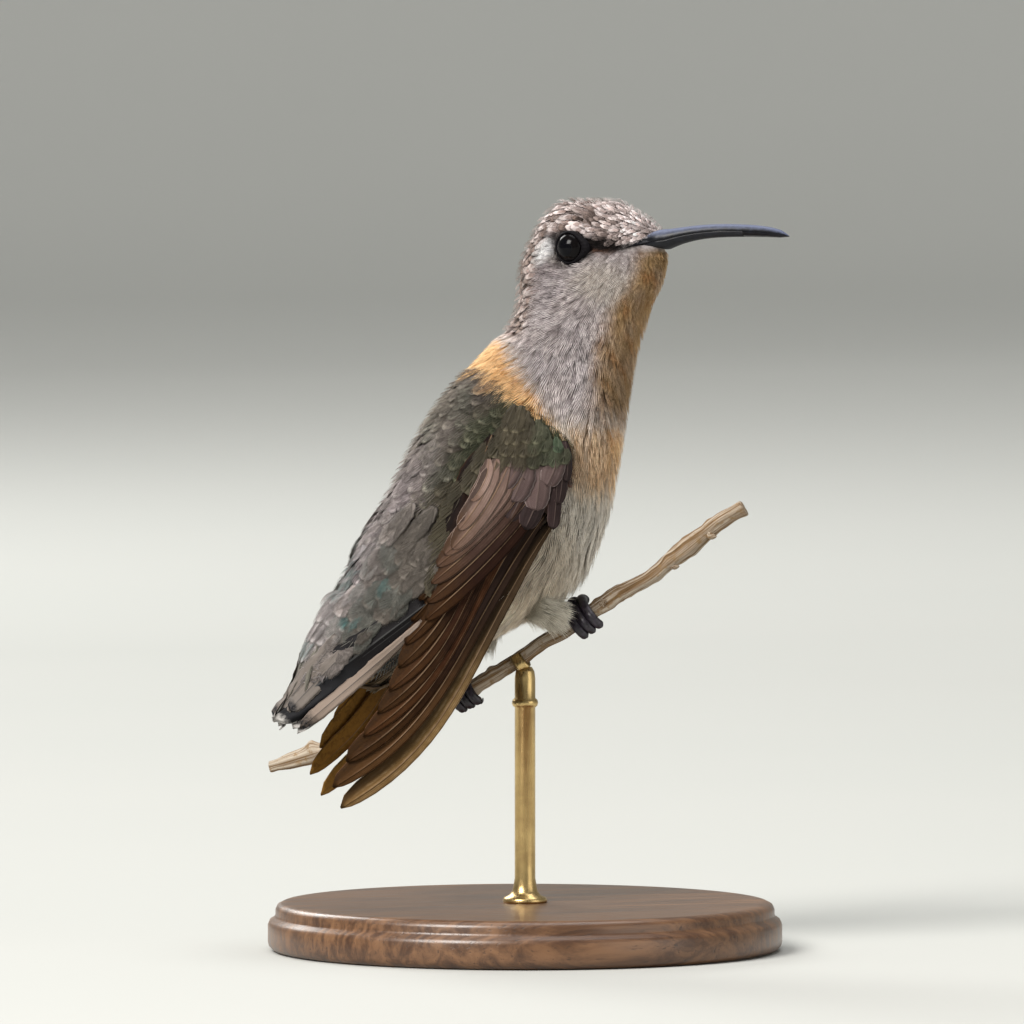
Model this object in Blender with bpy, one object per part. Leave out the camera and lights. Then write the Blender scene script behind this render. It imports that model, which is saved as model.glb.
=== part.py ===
"""Life-size still model of a small female hummingbird on a cut twig, on a display stand.

Frame: metres, +Z up.  The trunk heads along +X, the bird's right side is -Y and the
origin is the middle of the underside of the round base.  All sizes below are in
millimetres and are turned into metres when the meshes are built.
"""
import math

import bmesh
import bpy
from mathutils import Matrix, Vector

MM = 0.001

# ---------------------------------------------------------------- driving sizes (mm)
GAP = 0.3                     # clear gap between neighbouring solids
RING_SIDES = 26               # facets round the body
STEPS = 2                     # rings per body station

# Body stations from the crown down to the tail root:
# name, centre x, y, z, half length fore-aft, half width, point towards the front,
# heading in degrees, tilt in degrees (front edge lower)
STATIONS = (
    ("crown_top", 6.50, -0.38, 78.80, 2.03, 1.62, 0.10, -57, 0.0),
    ("crown", 7.04, -1.19, 78.33, 4.25, 3.31, 0.16, -57, 0.0),
    ("forehead", 7.42, -1.78, 77.17, 6.09, 4.63, 0.24, -57, 0.0),
    ("brow", 7.79, -2.35, 75.60, 7.55, 5.59, 0.32, -57, 0.0),
    ("eye_line", 7.69, -2.20, 73.81, 8.35, 6.18, 0.34, -57, 0.0),
    ("cheek", 7.49, -1.90, 72.24, 8.59, 6.53, 0.30, -57, 0.0),
    ("chin", 7.12, -1.33, 70.14, 8.46, 6.77, 0.22, -56, 0.0),
    ("throat", 6.60, -0.95, 67.94, 7.97, 6.86, 0.14, -53, 0.0),
    ("nape", 6.00, -0.50, 65.94, 7.89, 7.26, 0.08, -47, 0.0),
    ("collar", 4.67, -0.10, 63.79, 8.08, 7.67, 0.03, -37, 3.2),
    ("shoulder", 3.07, 0.00, 60.27, 8.82, 8.38, 0.0, -24, 10.9),
    ("upper_breast", 1.57, 0.00, 56.59, 9.82, 9.14, 0.0, -12, 17.9),
    ("breast", 0.05, 0.00, 53.18, 10.77, 9.80, 0.0, -4, 20.2),
    ("lower_breast", -1.84, 0.00, 48.56, 11.66, 10.26, 0.0, 0, 20.2),
    ("belly", -4.25, 0.00, 44.10, 11.68, 10.05, 0.0, 0, 17.4),
    ("lower_belly", -6.93, 0.00, 40.58, 11.46, 9.63, 0.0, 0, 17.0),
    ("vent", -10.23, 0.00, 36.96, 10.19, 8.56, 0.0, 0, 17.1),
    ("rump", -14.25, 0.00, 33.86, 8.16, 7.02, 0.0, 0, 19.6),
    ("tail_root", -18.15, 0.00, 31.50, 5.95, 5.35, 0.0, 0, 21.5),
    ("tail_end", -21.34, 0.00, 28.88, 4.05, 3.85, 0.0, 0, 21.4),
)
CROWN_Z = 79.0                # top of the crown
# body pieces: name and the station numbers they run between
BODY_PIECES = (
    ("head", 0.0, 7.6),
    ("neck", 7.6, 10.6),
    ("breast", 10.6, 13.4),
    ("belly", 13.4, 16.3),
    ("rump", 16.3, 19.0),
)

# Head frame
HEAD_AXIS = (6.75, -0.75)     # plan position of the head's turning axis
HEADING = -57.0
EYE_FORWARD, EYE_OUT, EYE_Z, EYE_R = 1.7, 4.75, 73.9, 1.75
EYE_SOCKET_GAP = 0.25

# Bill: distance forward of the head axis, middle height, half height, half width
BILL_STATIONS = (
    (9.0, 74.72, 1.14, 1.20),
    (10.6, 74.80, 1.08, 1.15),
    (12.4, 75.24, 0.86, 0.95),
    (14.6, 75.62, 0.76, 0.82),
    (18.0, 75.86, 0.70, 0.72),
    (21.5, 75.90, 0.64, 0.62),
    (24.3, 75.74, 0.50, 0.46),
    (25.6, 75.54, 0.30, 0.28),
    (26.1, 75.42, 0.12, 0.12),
)
BILL_SPLIT = 0.2              # slit between the two halves of the bill

# Wing outline as pairs of points: leading edge then trailing edge, right wing (mm),
# with the outward bulge and the thickness at that place
WING_STATIONS = (
    ((2.4, -8.6, 55.0), (-3.6, -7.6, 58.0), 1.0, 3.4),
    ((1.9, -10.6, 52.6), (-6.6, -8.4, 54.5), 1.6, 3.8),
    ((0.8, -11.4, 49.2), (-9.3, -8.6, 50.2), 1.5, 3.6),
    ((-1.2, -11.5, 44.8), (-11.2, -8.6, 46.0), 1.3, 3.2),
    ((-3.3, -11.2, 41.0), (-12.9, -8.3, 41.6), 1.1, 2.8),
    ((-4.8, -10.6, 37.9), (-14.3, -7.8, 37.6), 0.9, 2.4),
    ((-6.8, -9.8, 34.6), (-16.0, -7.2, 33.4), 0.8, 2.0),
    ((-9.8, -8.6, 28.9), (-18.4, -6.5, 28.0), 0.7, 1.6),
    ((-13.2, -7.3, 23.2), (-21.2, -5.8, 22.7), 0.5, 1.3),
    ((-17.2, -6.1, 18.5), (-23.1, -5.2, 18.9), 0.4, 1.1),
    ((-20.2, -5.4, 16.3), (-23.3, -5.0, 17.2), 0.2, 0.9),
    ((-21.6, -5.1, 15.6), (-22.6, -5.0, 15.8), 0.1, 0.7),
)
WING_SPLIT = 5.35             # station where the coverts end and the primaries start
LEFT_WING_LIFT = (0.6, 0.0, 1.7)

# Tail in its own axes: distance along the tail, ridge height off the axis plane,
# half width, droop of the sides, thickness
TAIL_AXIS_PITCH = 54.0
TAIL_STATIONS = (
    (-20.0, 39.4, 4.9, 7.4, 3.0),
    (-17.0, 39.0, 5.1, 7.2, 2.8),
    (-14.0, 38.7, 5.1, 6.6, 2.4),
    (-11.8, 38.3, 5.0, 5.8, 2.0),
    (-9.4, 37.9, 4.6, 4.6, 1.7),
    (-6.5, 37.4, 3.9, 2.9, 1.5),
    (-4.6, 37.1, 3.2, 1.7, 1.3),
    (-2.8, 36.9, 2.3, 0.9, 1.1),
    (-1.7, 36.7, 1.5, 0.5, 0.9),
)

# Perch: middle line points and radius
PERCH_POINTS = (
    (-22.2, 17.4, 18.6), (-18.8, 14.6, 19.9), (-15.4, 12.0, 21.5), (-11.2, 8.9, 23.7),
    (-8.2, 6.3, 25.4), (-5.4, 3.5, 27.1), (-2.7, 1.6, 29.0), (0.0, 0.0, 31.0),
    (2.7, -1.7, 33.0), (5.4, -3.5, 35.1), (8.4, -5.4, 37.4), (11.4, -7.3, 39.6),
    (14.6, -9.4, 42.5), (17.6, -11.4, 45.3), (19.6, -12.8, 46.8),
)
PERCH_R = 0.8
PERCH_KNOBS = {1: 0.25, 4: 0.1, 10: 0.15, 12: 0.35, 13: 0.1}
FOOT_SITES = {"right": 9, "left": 5}

# Legs
THIGH = {"right": ((0.6, -4.2, 38.2), (1.8, 1.9, 3.7)),
         "left": ((-2.9, 4.4, 35.9), (1.8, 1.9, 3.7))}
THIGH_PITCH = 12.0
SHANK_R = 0.5
SHANK_TOP = {"right": (0.9, -4.1, 35.9), "left": (-3.0, 4.1, 33.4)}
ANKLE_CLEAR = 1.85            # end of the shank to the middle of the knuckle
TOE_R = 0.5
TOE_OFFSETS = (-0.92, 0.0, 0.92)
TOE_START, TOE_SWEEP = 118.0, 225.0
CLAW_LENGTH_SHARE = 0.30

# Stand
BASE_R, BASE_H, BASE_BEVEL = 27.0, 5.0, 0.8
ROD_R = 1.1
ROD_TOP_Z = 29.5


# ---------------------------------------------------------------- helpers
def clear_scene():
    """Remove every object left in the file."""
    for obj in list(bpy.data.objects):
        bpy.data.objects.remove(obj, do_unlink=True)


def finish(name, color, rough=0.6, metal=0.0):
    """A Principled finish of one colour."""
    mat = bpy.data.materials.new(name)
    mat.use_nodes = True
    bsdf = mat.node_tree.nodes["Principled BSDF"]
    bsdf.inputs["Base Color"].default_value = (*color, 1.0)
    bsdf.inputs["Roughness"].default_value = rough
    bsdf.inputs["Metallic"].default_value = metal
    return mat


def catmull(a, b, c, d, t):
    """Catmull-Rom value between b and c."""
    return 0.5 * ((2 * b) + (c - a) * t + (2 * a - 5 * b + 4 * c - d) * t * t
                  + (3 * b - a - 3 * c + d) * t ** 3)


def along(rows, t):
    """Smoothly interpolated row of numbers at the fractional row number t."""
    last = len(rows) - 1
    i = min(max(int(math.floor(t)), 0), last - 1)
    f = t - i
    pick = [rows[min(max(k, 0), last)] for k in (i - 1, i, i + 1, i + 2)]
    return [catmull(*vals, f) for vals in zip(*pick)]


def span(start, stop, count):
    """Evenly spaced numbers from start to stop."""
    return [start + (stop - start) * k / count for k in range(count + 1)]


def make_object(name, bm, mat):
    """Close, orient and link a bmesh given in millimetres."""
    bmesh.ops.scale(bm, vec=(MM, MM, MM), verts=bm.verts)
    bmesh.ops.recalc_face_normals(bm, faces=bm.faces)
    mesh = bpy.data.meshes.new(name)
    bm.to_mesh(mesh)
    bm.free()
    obj = bpy.data.objects.new(name, mesh)
    bpy.context.collection.objects.link(obj)
    if mat:
        mesh.materials.append(mat)
    return obj


def loft(rings, start=None, end=None):
    """Closed skin through rings of points, with a middle point at each end cap."""
    bm = bmesh.new()
    loops = [[bm.verts.new(p) for p in ring] for ring in rings]
    n = len(loops[0])
    for lower, upper in zip(loops, loops[1:]):
        for k in range(n):
            bm.faces.new((lower[k], lower[(k + 1) % n], upper[(k + 1) % n], upper[k]))
    for loop, tip in ((loops[0], start), (loops[-1], end)):
        middle = Vector(tip) if tip else sum((v.co for v in loop), Vector()) / n
        hub = bm.verts.new(middle)
        for k in range(n):
            bm.faces.new((loop[k], hub, loop[(k + 1) % n]))
    return bm


def tube(points, radii, sides, tip_ends=False):
    """Round bar through points with a radius at each."""
    pts = [Vector(p) for p in points]
    rings, across = [], None
    for k, p in enumerate(pts):
        axis = (pts[min(k + 1, len(pts) - 1)] - pts[max(k - 1, 0)]).normalized()
        if across is None:
            across = axis.orthogonal().normalized()
        across = (across - axis * across.dot(axis)).normalized()
        other = axis.cross(across)
        rings.append([p + (across * math.cos(a) + other * math.sin(a)) * radii[k]
                      for a in (2 * math.pi * j / sides for j in range(sides))])
    end = None
    if tip_ends:
        end = pts[-1] + (pts[-1] - pts[-2]).normalized() * radii[-1]
    return loft(rings, end=end)


def cutter(name, bm):
    """A hidden solid used only to cut others."""
    obj = make_object(name, bm, None)
    obj.hide_render = True
    obj.display_type = "WIRE"
    return obj


def combine(obj, other, operation):
    """Exact boolean of obj with another solid."""
    mod = obj.modifiers.new(operation.lower() + "_" + other.name, "BOOLEAN")
    mod.operation = operation
    mod.solver = "EXACT"
    mod.object = other


# ---------------------------------------------------------------- body
def body_ring(t, grow=0.0):
    """Ring of body points at station number t."""
    x, y, z, fore, side, point, yaw, tilt = along([s[1:] for s in STATIONS], t)
    yaw, tilt = math.radians(yaw), math.radians(tilt)
    ahead = Vector((math.cos(yaw) * math.cos(tilt), math.sin(yaw) * math.cos(tilt),
                    -math.sin(tilt)))
    left = Vector((-math.sin(yaw), math.cos(yaw), 0.0))
    ring = []
    for k in range(RING_SIDES):
        a = 2 * math.pi * k / RING_SIDES
        ring.append(Vector((x, y, z)) + ahead * (fore + grow) * math.cos(a)
                    + left * (side + grow) * math.sin(a) * (1 - point * math.cos(a)))
    return ring


def body_step(t):
    """Distance in mm the body centre moves per station at t."""
    rows = [s[1:4] for s in STATIONS]
    a, b = Vector(along(rows, max(t - 0.05, 0))), Vector(along(rows, min(t + 0.05, 19)))
    return (b - a).length / 0.1


def body_solid(start, stop, grow=0.0, top=False):
    """Closed piece of the body between two station numbers."""
    rings = [body_ring(t, grow) for t in span(start, stop, round((stop - start) * STEPS))]
    crown = (6.2, -0.1, CROWN_Z + grow) if top else None
    return loft(rings, start=crown)


def build_body(mats):
    """The head, neck, breast, belly and rump."""
    parts = {}
    for name, start, stop in BODY_PIECES:
        a = start if start == 0.0 else start + GAP / 2 / body_step(start)
        b = stop if stop == 19.0 else stop - GAP / 2 / body_step(stop)
        bm = body_solid(a, b, top=(start == 0.0))
        parts[name] = make_object(name, bm, mats[name])
    return parts


def head_point(forward, out, z):
    """World point from a place given in the head's own frame (out = to its right)."""
    yaw = math.radians(HEADING)
    x = HEAD_AXIS[0] + math.cos(yaw) * forward + math.sin(yaw) * out
    y = HEAD_AXIS[1] + math.sin(yaw) * forward - math.cos(yaw) * out
    return Vector((x, y, z))


def ball(center, radius, segments=16, rings=10):
    """Faceted sphere."""
    bm = bmesh.new()
    bmesh.ops.create_uvsphere(bm, u_segments=segments, v_segments=rings, radius=radius)
    bmesh.ops.translate(bm, vec=Vector(center), verts=bm.verts)
    return bm


def build_eyes(head, mat):
    """Both eyeballs, set in sockets cut in the head."""
    for side, out in (("right", EYE_OUT), ("left", -EYE_OUT)):
        center = head_point(EYE_FORWARD, out, EYE_Z)
        combine(head, cutter("socket_" + side, ball(center, EYE_R + EYE_SOCKET_GAP)),
                "DIFFERENCE")
        make_object("eye_" + side, ball(center, EYE_R), mat)


def build_bill(mat, head_cut):
    """Upper and lower halves of the bill, trimmed clear of the face."""
    for name, low, high in (("bill_upper", 0.0, 180.0), ("bill_lower", 180.0, 360.0)):
        rings = []
        for forward, z, half_h, half_w in BILL_STATIONS:
            slit = BILL_SPLIT / 2 * min(1.0, half_h / 0.6)
            ring = []
            for a in span(math.radians(low), math.radians(high), 7):
                lift = math.sin(a) * (half_h - slit) + math.copysign(slit, 180.5 - low - 1)
                ring.append(head_point(forward, half_w * math.cos(a), z + lift))
            rings.append(ring)
        obj = make_object(name, loft(rings), mat)
        combine(obj, head_cut, "DIFFERENCE")


# ---------------------------------------------------------------- wings and tail
def wing_ring(t, side, shift):
    """Closed section of a folded wing at station number t."""
    rows = [list(s[0]) + list(s[1]) + [s[2], s[3]] for s in WING_STATIONS]
    vals = along(rows, t)
    lead, trail, bulge, thick = Vector(vals[:3]), Vector(vals[3:6]), vals[6], vals[7]
    outer, inner = [], []
    for s in span(0.0, 1.0, 6):
        p = lead.lerp(trail, s)
        edge = math.sin(math.pi * min(max(s, 0.0), 1.0)) ** 0.7
        out = bulge * edge
        depth = thick * (0.35 + 0.65 * edge)
        outer.append(p + Vector((0, -out, 0)))
        inner.append(p + Vector((0, depth - out, 0)))
    ring = outer + inner[::-1]
    return [Vector((p.x, p.y * side, p.z)) + Vector(shift) for p in ring]


def build_wings(mats, body_cut):
    """Folded wings in two pieces each, resting on the sides of the body."""
    last = len(WING_STATIONS) - 1.0
    for side_name, side, shift in (("right", 1, (0, 0, 0)), ("left", -1, LEFT_WING_LIFT)):
        pieces = (("wing_" + side_name, 0.0, WING_SPLIT - 0.04, "wing"),
                  ("primaries_" + side_name, WING_SPLIT + 0.04, last, "primaries"))
        for name, a, b, key in pieces:
            rings = [wing_ring(t, side, shift) for t in span(a, b, round((b - a) * 2))]
            obj = make_object(name, loft(rings), mats[key])
            combine(obj, body_cut, "DIFFERENCE")


def build_tail(mat, body_cut):
    """Closed, roof-shaped tail of stacked feathers."""
    pitch = math.radians(TAIL_AXIS_PITCH)
    axis = Vector((-math.cos(pitch), 0, -math.sin(pitch)))
    back = Vector((-math.sin(pitch), 0, math.cos(pitch)))
    rings = []
    for dist, ridge, half, droop, thick in TAIL_STATIONS:
        top, under = [], []
        for s in span(-1.0, 1.0, 10):
            fall = droop * abs(s) ** 1.7
            y = Vector((0, half * s, 0))
            wall = thick * (1 - 0.55 * abs(s) ** 3)
            top.append(axis * dist + back * (ridge - fall) + y)
            under.append(axis * dist + back * (ridge - fall - wall) + y * 0.94)
        rings.append(top + under[::-1])
    obj = make_object("tail", loft(rings), mat)
    combine(obj, body_cut, "DIFFERENCE")


# ---------------------------------------------------------------- legs and perch
def perch_axes(index):
    """Middle, direction, up and outward axes of the perch at a point number."""
    here = Vector(PERCH_POINTS[index])
    ahead = (Vector(PERCH_POINTS[index + 1]) - Vector(PERCH_POINTS[index - 1])).normalized()
    up = (Vector((0, 0, 1)) - ahead * ahead.z).normalized()
    return here, ahead, up, ahead.cross(up)


def toe(index, offset, turn, start, sweep, lean):
    """One toe with its claw, curled round the perch."""
    here, ahead, up, out = perch_axes(index)
    if turn < 0:
        out = -out
    points, radii = [], []
    steps = 9
    for k in range(steps + 1):
        f = k / steps
        a = math.radians(start - sweep * f)
        claw = max(0.0, (f - 1 + CLAW_LENGTH_SHARE) / CLAW_LENGTH_SHARE)
        r = TOE_R * (1 - 0.2 * f) * (1 - 0.72 * claw)
        radius = PERCH_R + GAP + TOE_R * (1 - 0.15 * f) + 0.25 * claw
        points.append(here + ahead * (offset * (1 + 0.35 * f) + lean * f)
                      + out * math.cos(a) * radius + up * math.sin(a) * radius)
        radii.append(r)
    return tube(points, radii, 8, tip_ends=True)


def build_legs(mats, body_cut):
    """Feathered thighs, shanks, and feet gripping the perch."""
    for side, index in FOOT_SITES.items():
        here, ahead, up, out = perch_axes(index)
        knuckle = here + up * (PERCH_R + GAP + TOE_R) - ahead * 0.1
        core = make_object("foot_" + side, ball(knuckle, TOE_R * 1.5, 12, 8), mats["feet"])
        for number, offset in enumerate(TOE_OFFSETS):
            digit = toe(index, offset, 1, TOE_START, TOE_SWEEP, 0.0)
            combine(core, cutter(f"toe_{side}_{number}", digit), "UNION")
        hind = toe(index, 0.2, -1, TOE_START, TOE_SWEEP * 0.62, -0.2)
        combine(core, cutter("toe_%s_hind" % side, hind), "UNION")

        center, radii = THIGH[side]
        bm = ball((0, 0, 0), 1.0, 16, 10)
        bmesh.ops.scale(bm, vec=radii, verts=bm.verts)
        turn = Matrix.Rotation(math.radians(THIGH_PITCH), 4, "Y")
        bmesh.ops.transform(bm, matrix=Matrix.Translation(center) @ turn, verts=bm.verts)
        thigh_cut = bm.copy()
        bmesh.ops.scale(thigh_cut, vec=[1 + GAP / min(radii)] * 3,
                        space=Matrix.Translation(-Vector(center)), verts=thigh_cut.verts)
        thigh = make_object("thigh_" + side, bm, mats["belly"])
        combine(thigh, body_cut, "DIFFERENCE")

        top = Vector(SHANK_TOP[side])
        ankle = knuckle + (top - knuckle).normalized() * ANKLE_CLEAR
        shank = make_object("shank_" + side, tube(
            [top.lerp(ankle, f) for f in span(0, 1, 4)],
            [SHANK_R * 1.15, SHANK_R, SHANK_R, SHANK_R, SHANK_R * 1.1], 10), mats["feet"])
        combine(shank, cutter("knee_" + side, thigh_cut), "DIFFERENCE")


def build_perch(mat):
    """Short cut length of twig with its knobs."""
    points, radii = [], []
    for k in span(0, len(PERCH_POINTS) - 1, (len(PERCH_POINTS) - 1) * 2):
        points.append(along(PERCH_POINTS, k))
        swell = sum(h * math.exp(-((k - i) / 0.35) ** 2) for i, h in PERCH_KNOBS.items())
        radii.append(PERCH_R + swell)
    make_object("perch", tube(points, radii, 10), mat)


def build_stand(mats):
    """Round base plate and the rod that carries the twig."""
    bm = bmesh.new()
    bmesh.ops.create_cone(bm, cap_ends=True, segments=64, radius1=BASE_R, radius2=BASE_R,
                          depth=BASE_H)
    bmesh.ops.translate(bm, vec=(0, 0, BASE_H / 2), verts=bm.verts)
    rim = [e for e in bm.edges if all(v.co.z > BASE_H - 0.01 for v in e.verts)]
    bmesh.ops.bevel(bm, geom=rim, offset=BASE_BEVEL, segments=2, profile=0.5,
                    affect="EDGES", material=-1)
    make_object("stand_base", bm, mats["base"])

    rod = tube([(0, 0, BASE_H + GAP), (0, 0, ROD_TOP_Z - 1.5), (0, 0, ROD_TOP_Z)],
               [ROD_R, ROD_R, ROD_R * 0.8], 20)
    obj = make_object("stand_rod", rod, mats["rod"])
    near = [Vector(p) for p in PERCH_POINTS[5:10]]
    saddle = tube(near, [PERCH_R + GAP] * len(near), 16)
    combine(obj, cutter("saddle", saddle), "DIFFERENCE")


def main():
    """Build every part of the model."""
    clear_scene()
    mats = {
        "head": finish("head_feathers", (0.42, 0.37, 0.33), 0.8),
        "neck": finish("neck_feathers", (0.50, 0.45, 0.41), 0.8),
        "breast": finish("breast_feathers", (0.52, 0.40, 0.28), 0.8),
        "belly": finish("belly_feathers", (0.56, 0.52, 0.44), 0.8),
        "rump": finish("rump_feathers", (0.20, 0.23, 0.20), 0.7),
        "wing": finish("wing_coverts", (0.16, 0.12, 0.10), 0.6),
        "primaries": finish("wing_quills", (0.12, 0.07, 0.05), 0.6),
        "tail": finish("tail_feathers", (0.10, 0.11, 0.10), 0.6),
        "feet": finish("foot_horn", (0.02, 0.015, 0.02), 0.4),
        "bill": finish("bill_horn", (0.015, 0.016, 0.02), 0.3),
        "eye": finish("eye_gloss", (0.01, 0.01, 0.012), 0.05),
        "bark": finish("twig_bark", (0.34, 0.27, 0.18), 0.9),
        "base": finish("base_wood", (0.16, 0.09, 0.05), 0.5),
        "rod": finish("rod_brass", (0.70, 0.55, 0.30), 0.3, 1.0),
    }
    parts = build_body(mats)
    head_cut = cutter("head_cut", body_solid(0.0, 9.0, grow=GAP, top=True))
    body_cut = cutter("body_cut", body_solid(6.0, 19.0, grow=GAP))
    build_eyes(parts["head"], mats["eye"])
    build_bill(mats["bill"], head_cut)
    build_wings(mats, body_cut)
    build_tail(mats["tail"], body_cut)
    build_legs(mats, body_cut)
    build_perch(mats["bark"])
    build_stand(mats)


main()
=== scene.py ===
"""Looks of a life-size perched hummingbird: skin, coat, quills, bill, eyes, feet and stand."""

import logging
import math
from dataclasses import dataclass, field, replace
from enum import Enum
from typing import Any, Callable, Iterable, Optional, Sequence

import bmesh
import bpy
import numpy as np
from mathutils import Matrix, Vector
from mathutils.bvhtree import BVHTree
from mathutils.kdtree import KDTree


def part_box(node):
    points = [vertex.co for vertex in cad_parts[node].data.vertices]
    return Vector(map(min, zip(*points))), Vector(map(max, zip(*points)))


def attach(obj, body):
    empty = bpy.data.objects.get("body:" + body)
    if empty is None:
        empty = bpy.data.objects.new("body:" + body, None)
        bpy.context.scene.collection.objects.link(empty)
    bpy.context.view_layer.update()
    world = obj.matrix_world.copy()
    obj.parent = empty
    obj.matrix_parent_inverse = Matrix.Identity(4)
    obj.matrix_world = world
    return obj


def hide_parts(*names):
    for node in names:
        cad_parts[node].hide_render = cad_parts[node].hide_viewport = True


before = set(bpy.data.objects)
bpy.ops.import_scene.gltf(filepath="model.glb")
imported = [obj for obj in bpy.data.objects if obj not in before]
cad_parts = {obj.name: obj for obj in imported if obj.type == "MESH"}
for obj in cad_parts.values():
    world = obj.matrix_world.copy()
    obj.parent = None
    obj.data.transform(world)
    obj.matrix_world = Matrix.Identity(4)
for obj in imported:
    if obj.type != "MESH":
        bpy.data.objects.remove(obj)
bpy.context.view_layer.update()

log = logging.getLogger("hummingbird")
MM = 0.001
ROOT = "root"
FLESH = ("head", "neck", "breast", "belly", "rump", "thigh_right", "thigh_left")
SOFT_COLUMNS = (-0.5, -0.25, 0.0, 0.25, 0.5)    # places across a soft feather
UPWARD = np.array([0.0, 0.0, 1.0])
TAILWARD = np.array([-0.588, 0.0, -0.809])      # down the back, 54 degrees from level
BACKWARD = np.array([-0.809, 0.0, 0.588])       # out of the back
OTHER_SIDE = np.array([1.0, -1.0, 1.0])         # mirrors a place to the bird's other side
Array = np.ndarray
Color = tuple[float, float, float]


class Side(Enum):
    """Which side of the bird a piece is on."""

    RIGHT = "right"
    LEFT = "left"

    @property
    def sign(self) -> float:
        """+1 for the side towards -Y, -1 for the other."""
        return 1.0 if self is Side.RIGHT else -1.0


# ------------------------------------------------------------------ numbers and vectors
def unit(v: Array) -> Array:
    """Vectors scaled to length one, along the last axis."""
    return v / np.maximum(np.linalg.norm(v, axis=-1, keepdims=True), 1e-12)


def dot(a: Array, b: Array) -> Array:
    """Row-by-row dot product, kept as a column."""
    return np.sum(a * b, axis=-1, keepdims=True)


def step(low: float, high: float, x: Array) -> Array:
    """Smooth 0 to 1 ramp between low and high; falls instead where high is below low."""
    t = np.clip((np.asarray(x, float) - low) / (high - low), 0.0, 1.0)
    return t * t * (3 - 2 * t)


def blend(a: Array, b: Array, t: Array) -> Array:
    """Mix of a and b, with t as a column where it varies by row."""
    return a * (1 - t) + b * t


def min_distance(p: Array, centers: Iterable[Array]) -> Array:
    """Distance of points from the nearest of some places."""
    return np.min([np.linalg.norm(p - c, axis=1) for c in centers], axis=0)


def evened(rows: Array, reach: int) -> Array:
    """Running mean of rows over `reach` neighbours on each side."""
    padded = np.pad(rows, ((reach, reach), *[(0, 0)] * (rows.ndim - 1)), mode="edge")
    return sum(padded[k:k + len(rows)] for k in range(2 * reach + 1)) / (2 * reach + 1)


def level(line: Sequence[tuple[float, float]], x: Array) -> Array:
    """Height at x of a line through points, level beyond its ends."""
    corners = np.array(line)
    return np.interp(x, corners[:, 0], corners[:, 1])


def box_mm(node: str) -> tuple[Array, Array]:
    """Lowest and highest corner of a CAD node in millimetres."""
    low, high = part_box(node)
    return np.array(low) / MM, np.array(high) / MM


def points_mm(node: str) -> Array:
    """Points of a CAD node in millimetres."""
    return np.array([v.co[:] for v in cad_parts[node].data.vertices]) / MM


def middle(node: str) -> Array:
    """Middle of a CAD node's box in millimetres."""
    low, high = box_mm(node)
    return (low + high) / 2


def trace(nodes: Iterable[str]) -> BVHTree:
    """Search tree over the CAD nodes' surfaces, in millimetres.

    Args:
        nodes: names of the CAD nodes.

    Returns:
        One tree over all their triangles.
    """
    verts: list[Vector] = []
    faces: list[tuple[int, ...]] = []
    for name in nodes:
        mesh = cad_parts[name].data
        start = len(verts)
        verts.extend(v.co / MM for v in mesh.vertices)
        faces.extend(tuple(start + i for i in p.vertices) for p in mesh.polygons)
    return BVHTree.FromPolygons(verts, faces)


def point_tree(points: Array) -> KDTree:
    """Search tree over points."""
    tree = KDTree(len(points))
    for k, p in enumerate(points):
        tree.insert(p, k)
    tree.balance()
    return tree


# ------------------------------------------------------------------ shader expressions
class Term:
    """A shader socket that takes part in Python arithmetic."""

    def __init__(self, graph: "Graph", socket: bpy.types.NodeSocket) -> None:
        """Hold the socket and the graph it lives in."""
        self.graph = graph
        self.socket = socket

    def _math(self, kind: str, *others: Any) -> "Term":
        """One Math node over this value and others."""
        values = {i: v for i, v in enumerate((self, *others))}
        return self.graph.node("ShaderNodeMath", {"operation": kind}, values)

    def __add__(self, other: Any) -> "Term":
        """Sum."""
        return self._math("ADD", other)

    __radd__ = __add__

    def __mul__(self, other: Any) -> "Term":
        """Product."""
        return self._math("MULTIPLY", other)

    __rmul__ = __mul__

    def __sub__(self, other: Any) -> "Term":
        """Difference."""
        return self._math("SUBTRACT", other)

    def __rsub__(self, other: Any) -> "Term":
        """Difference with the value on the right."""
        return self.graph.lift(other)._math("SUBTRACT", self)

    def __truediv__(self, other: Any) -> "Term":
        """Quotient."""
        return self._math("DIVIDE", other)

    def __pow__(self, other: Any) -> "Term":
        """Power."""
        return self._math("POWER", other)

    def abs(self) -> "Term":
        """Absolute value."""
        return self._math("ABSOLUTE")

    def wave(self) -> "Term":
        """Up to 1 and down to 0 again while the value, in radians, goes once round."""
        return self._math("SINE") * 0.5 + 0.5

    def fract(self) -> "Term":
        """Fractional part."""
        return self._math("FRACT")

    def ramp(self, low: float, high: float, start: float = 0.0, end: float = 1.0) -> "Term":
        """Smooth ramp of the value.

        Args:
            low: value where the ramp begins.
            high: value where it ends.
            start: result at and below low.
            end: result at and above high.

        Returns:
            The ramped value.
        """
        sockets = {"Value": self, "From Min": low, "From Max": high,
                   "To Min": start, "To Max": end}
        return self.graph.node("ShaderNodeMapRange", {"interpolation_type": "SMOOTHSTEP"},
                               sockets)


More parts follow.
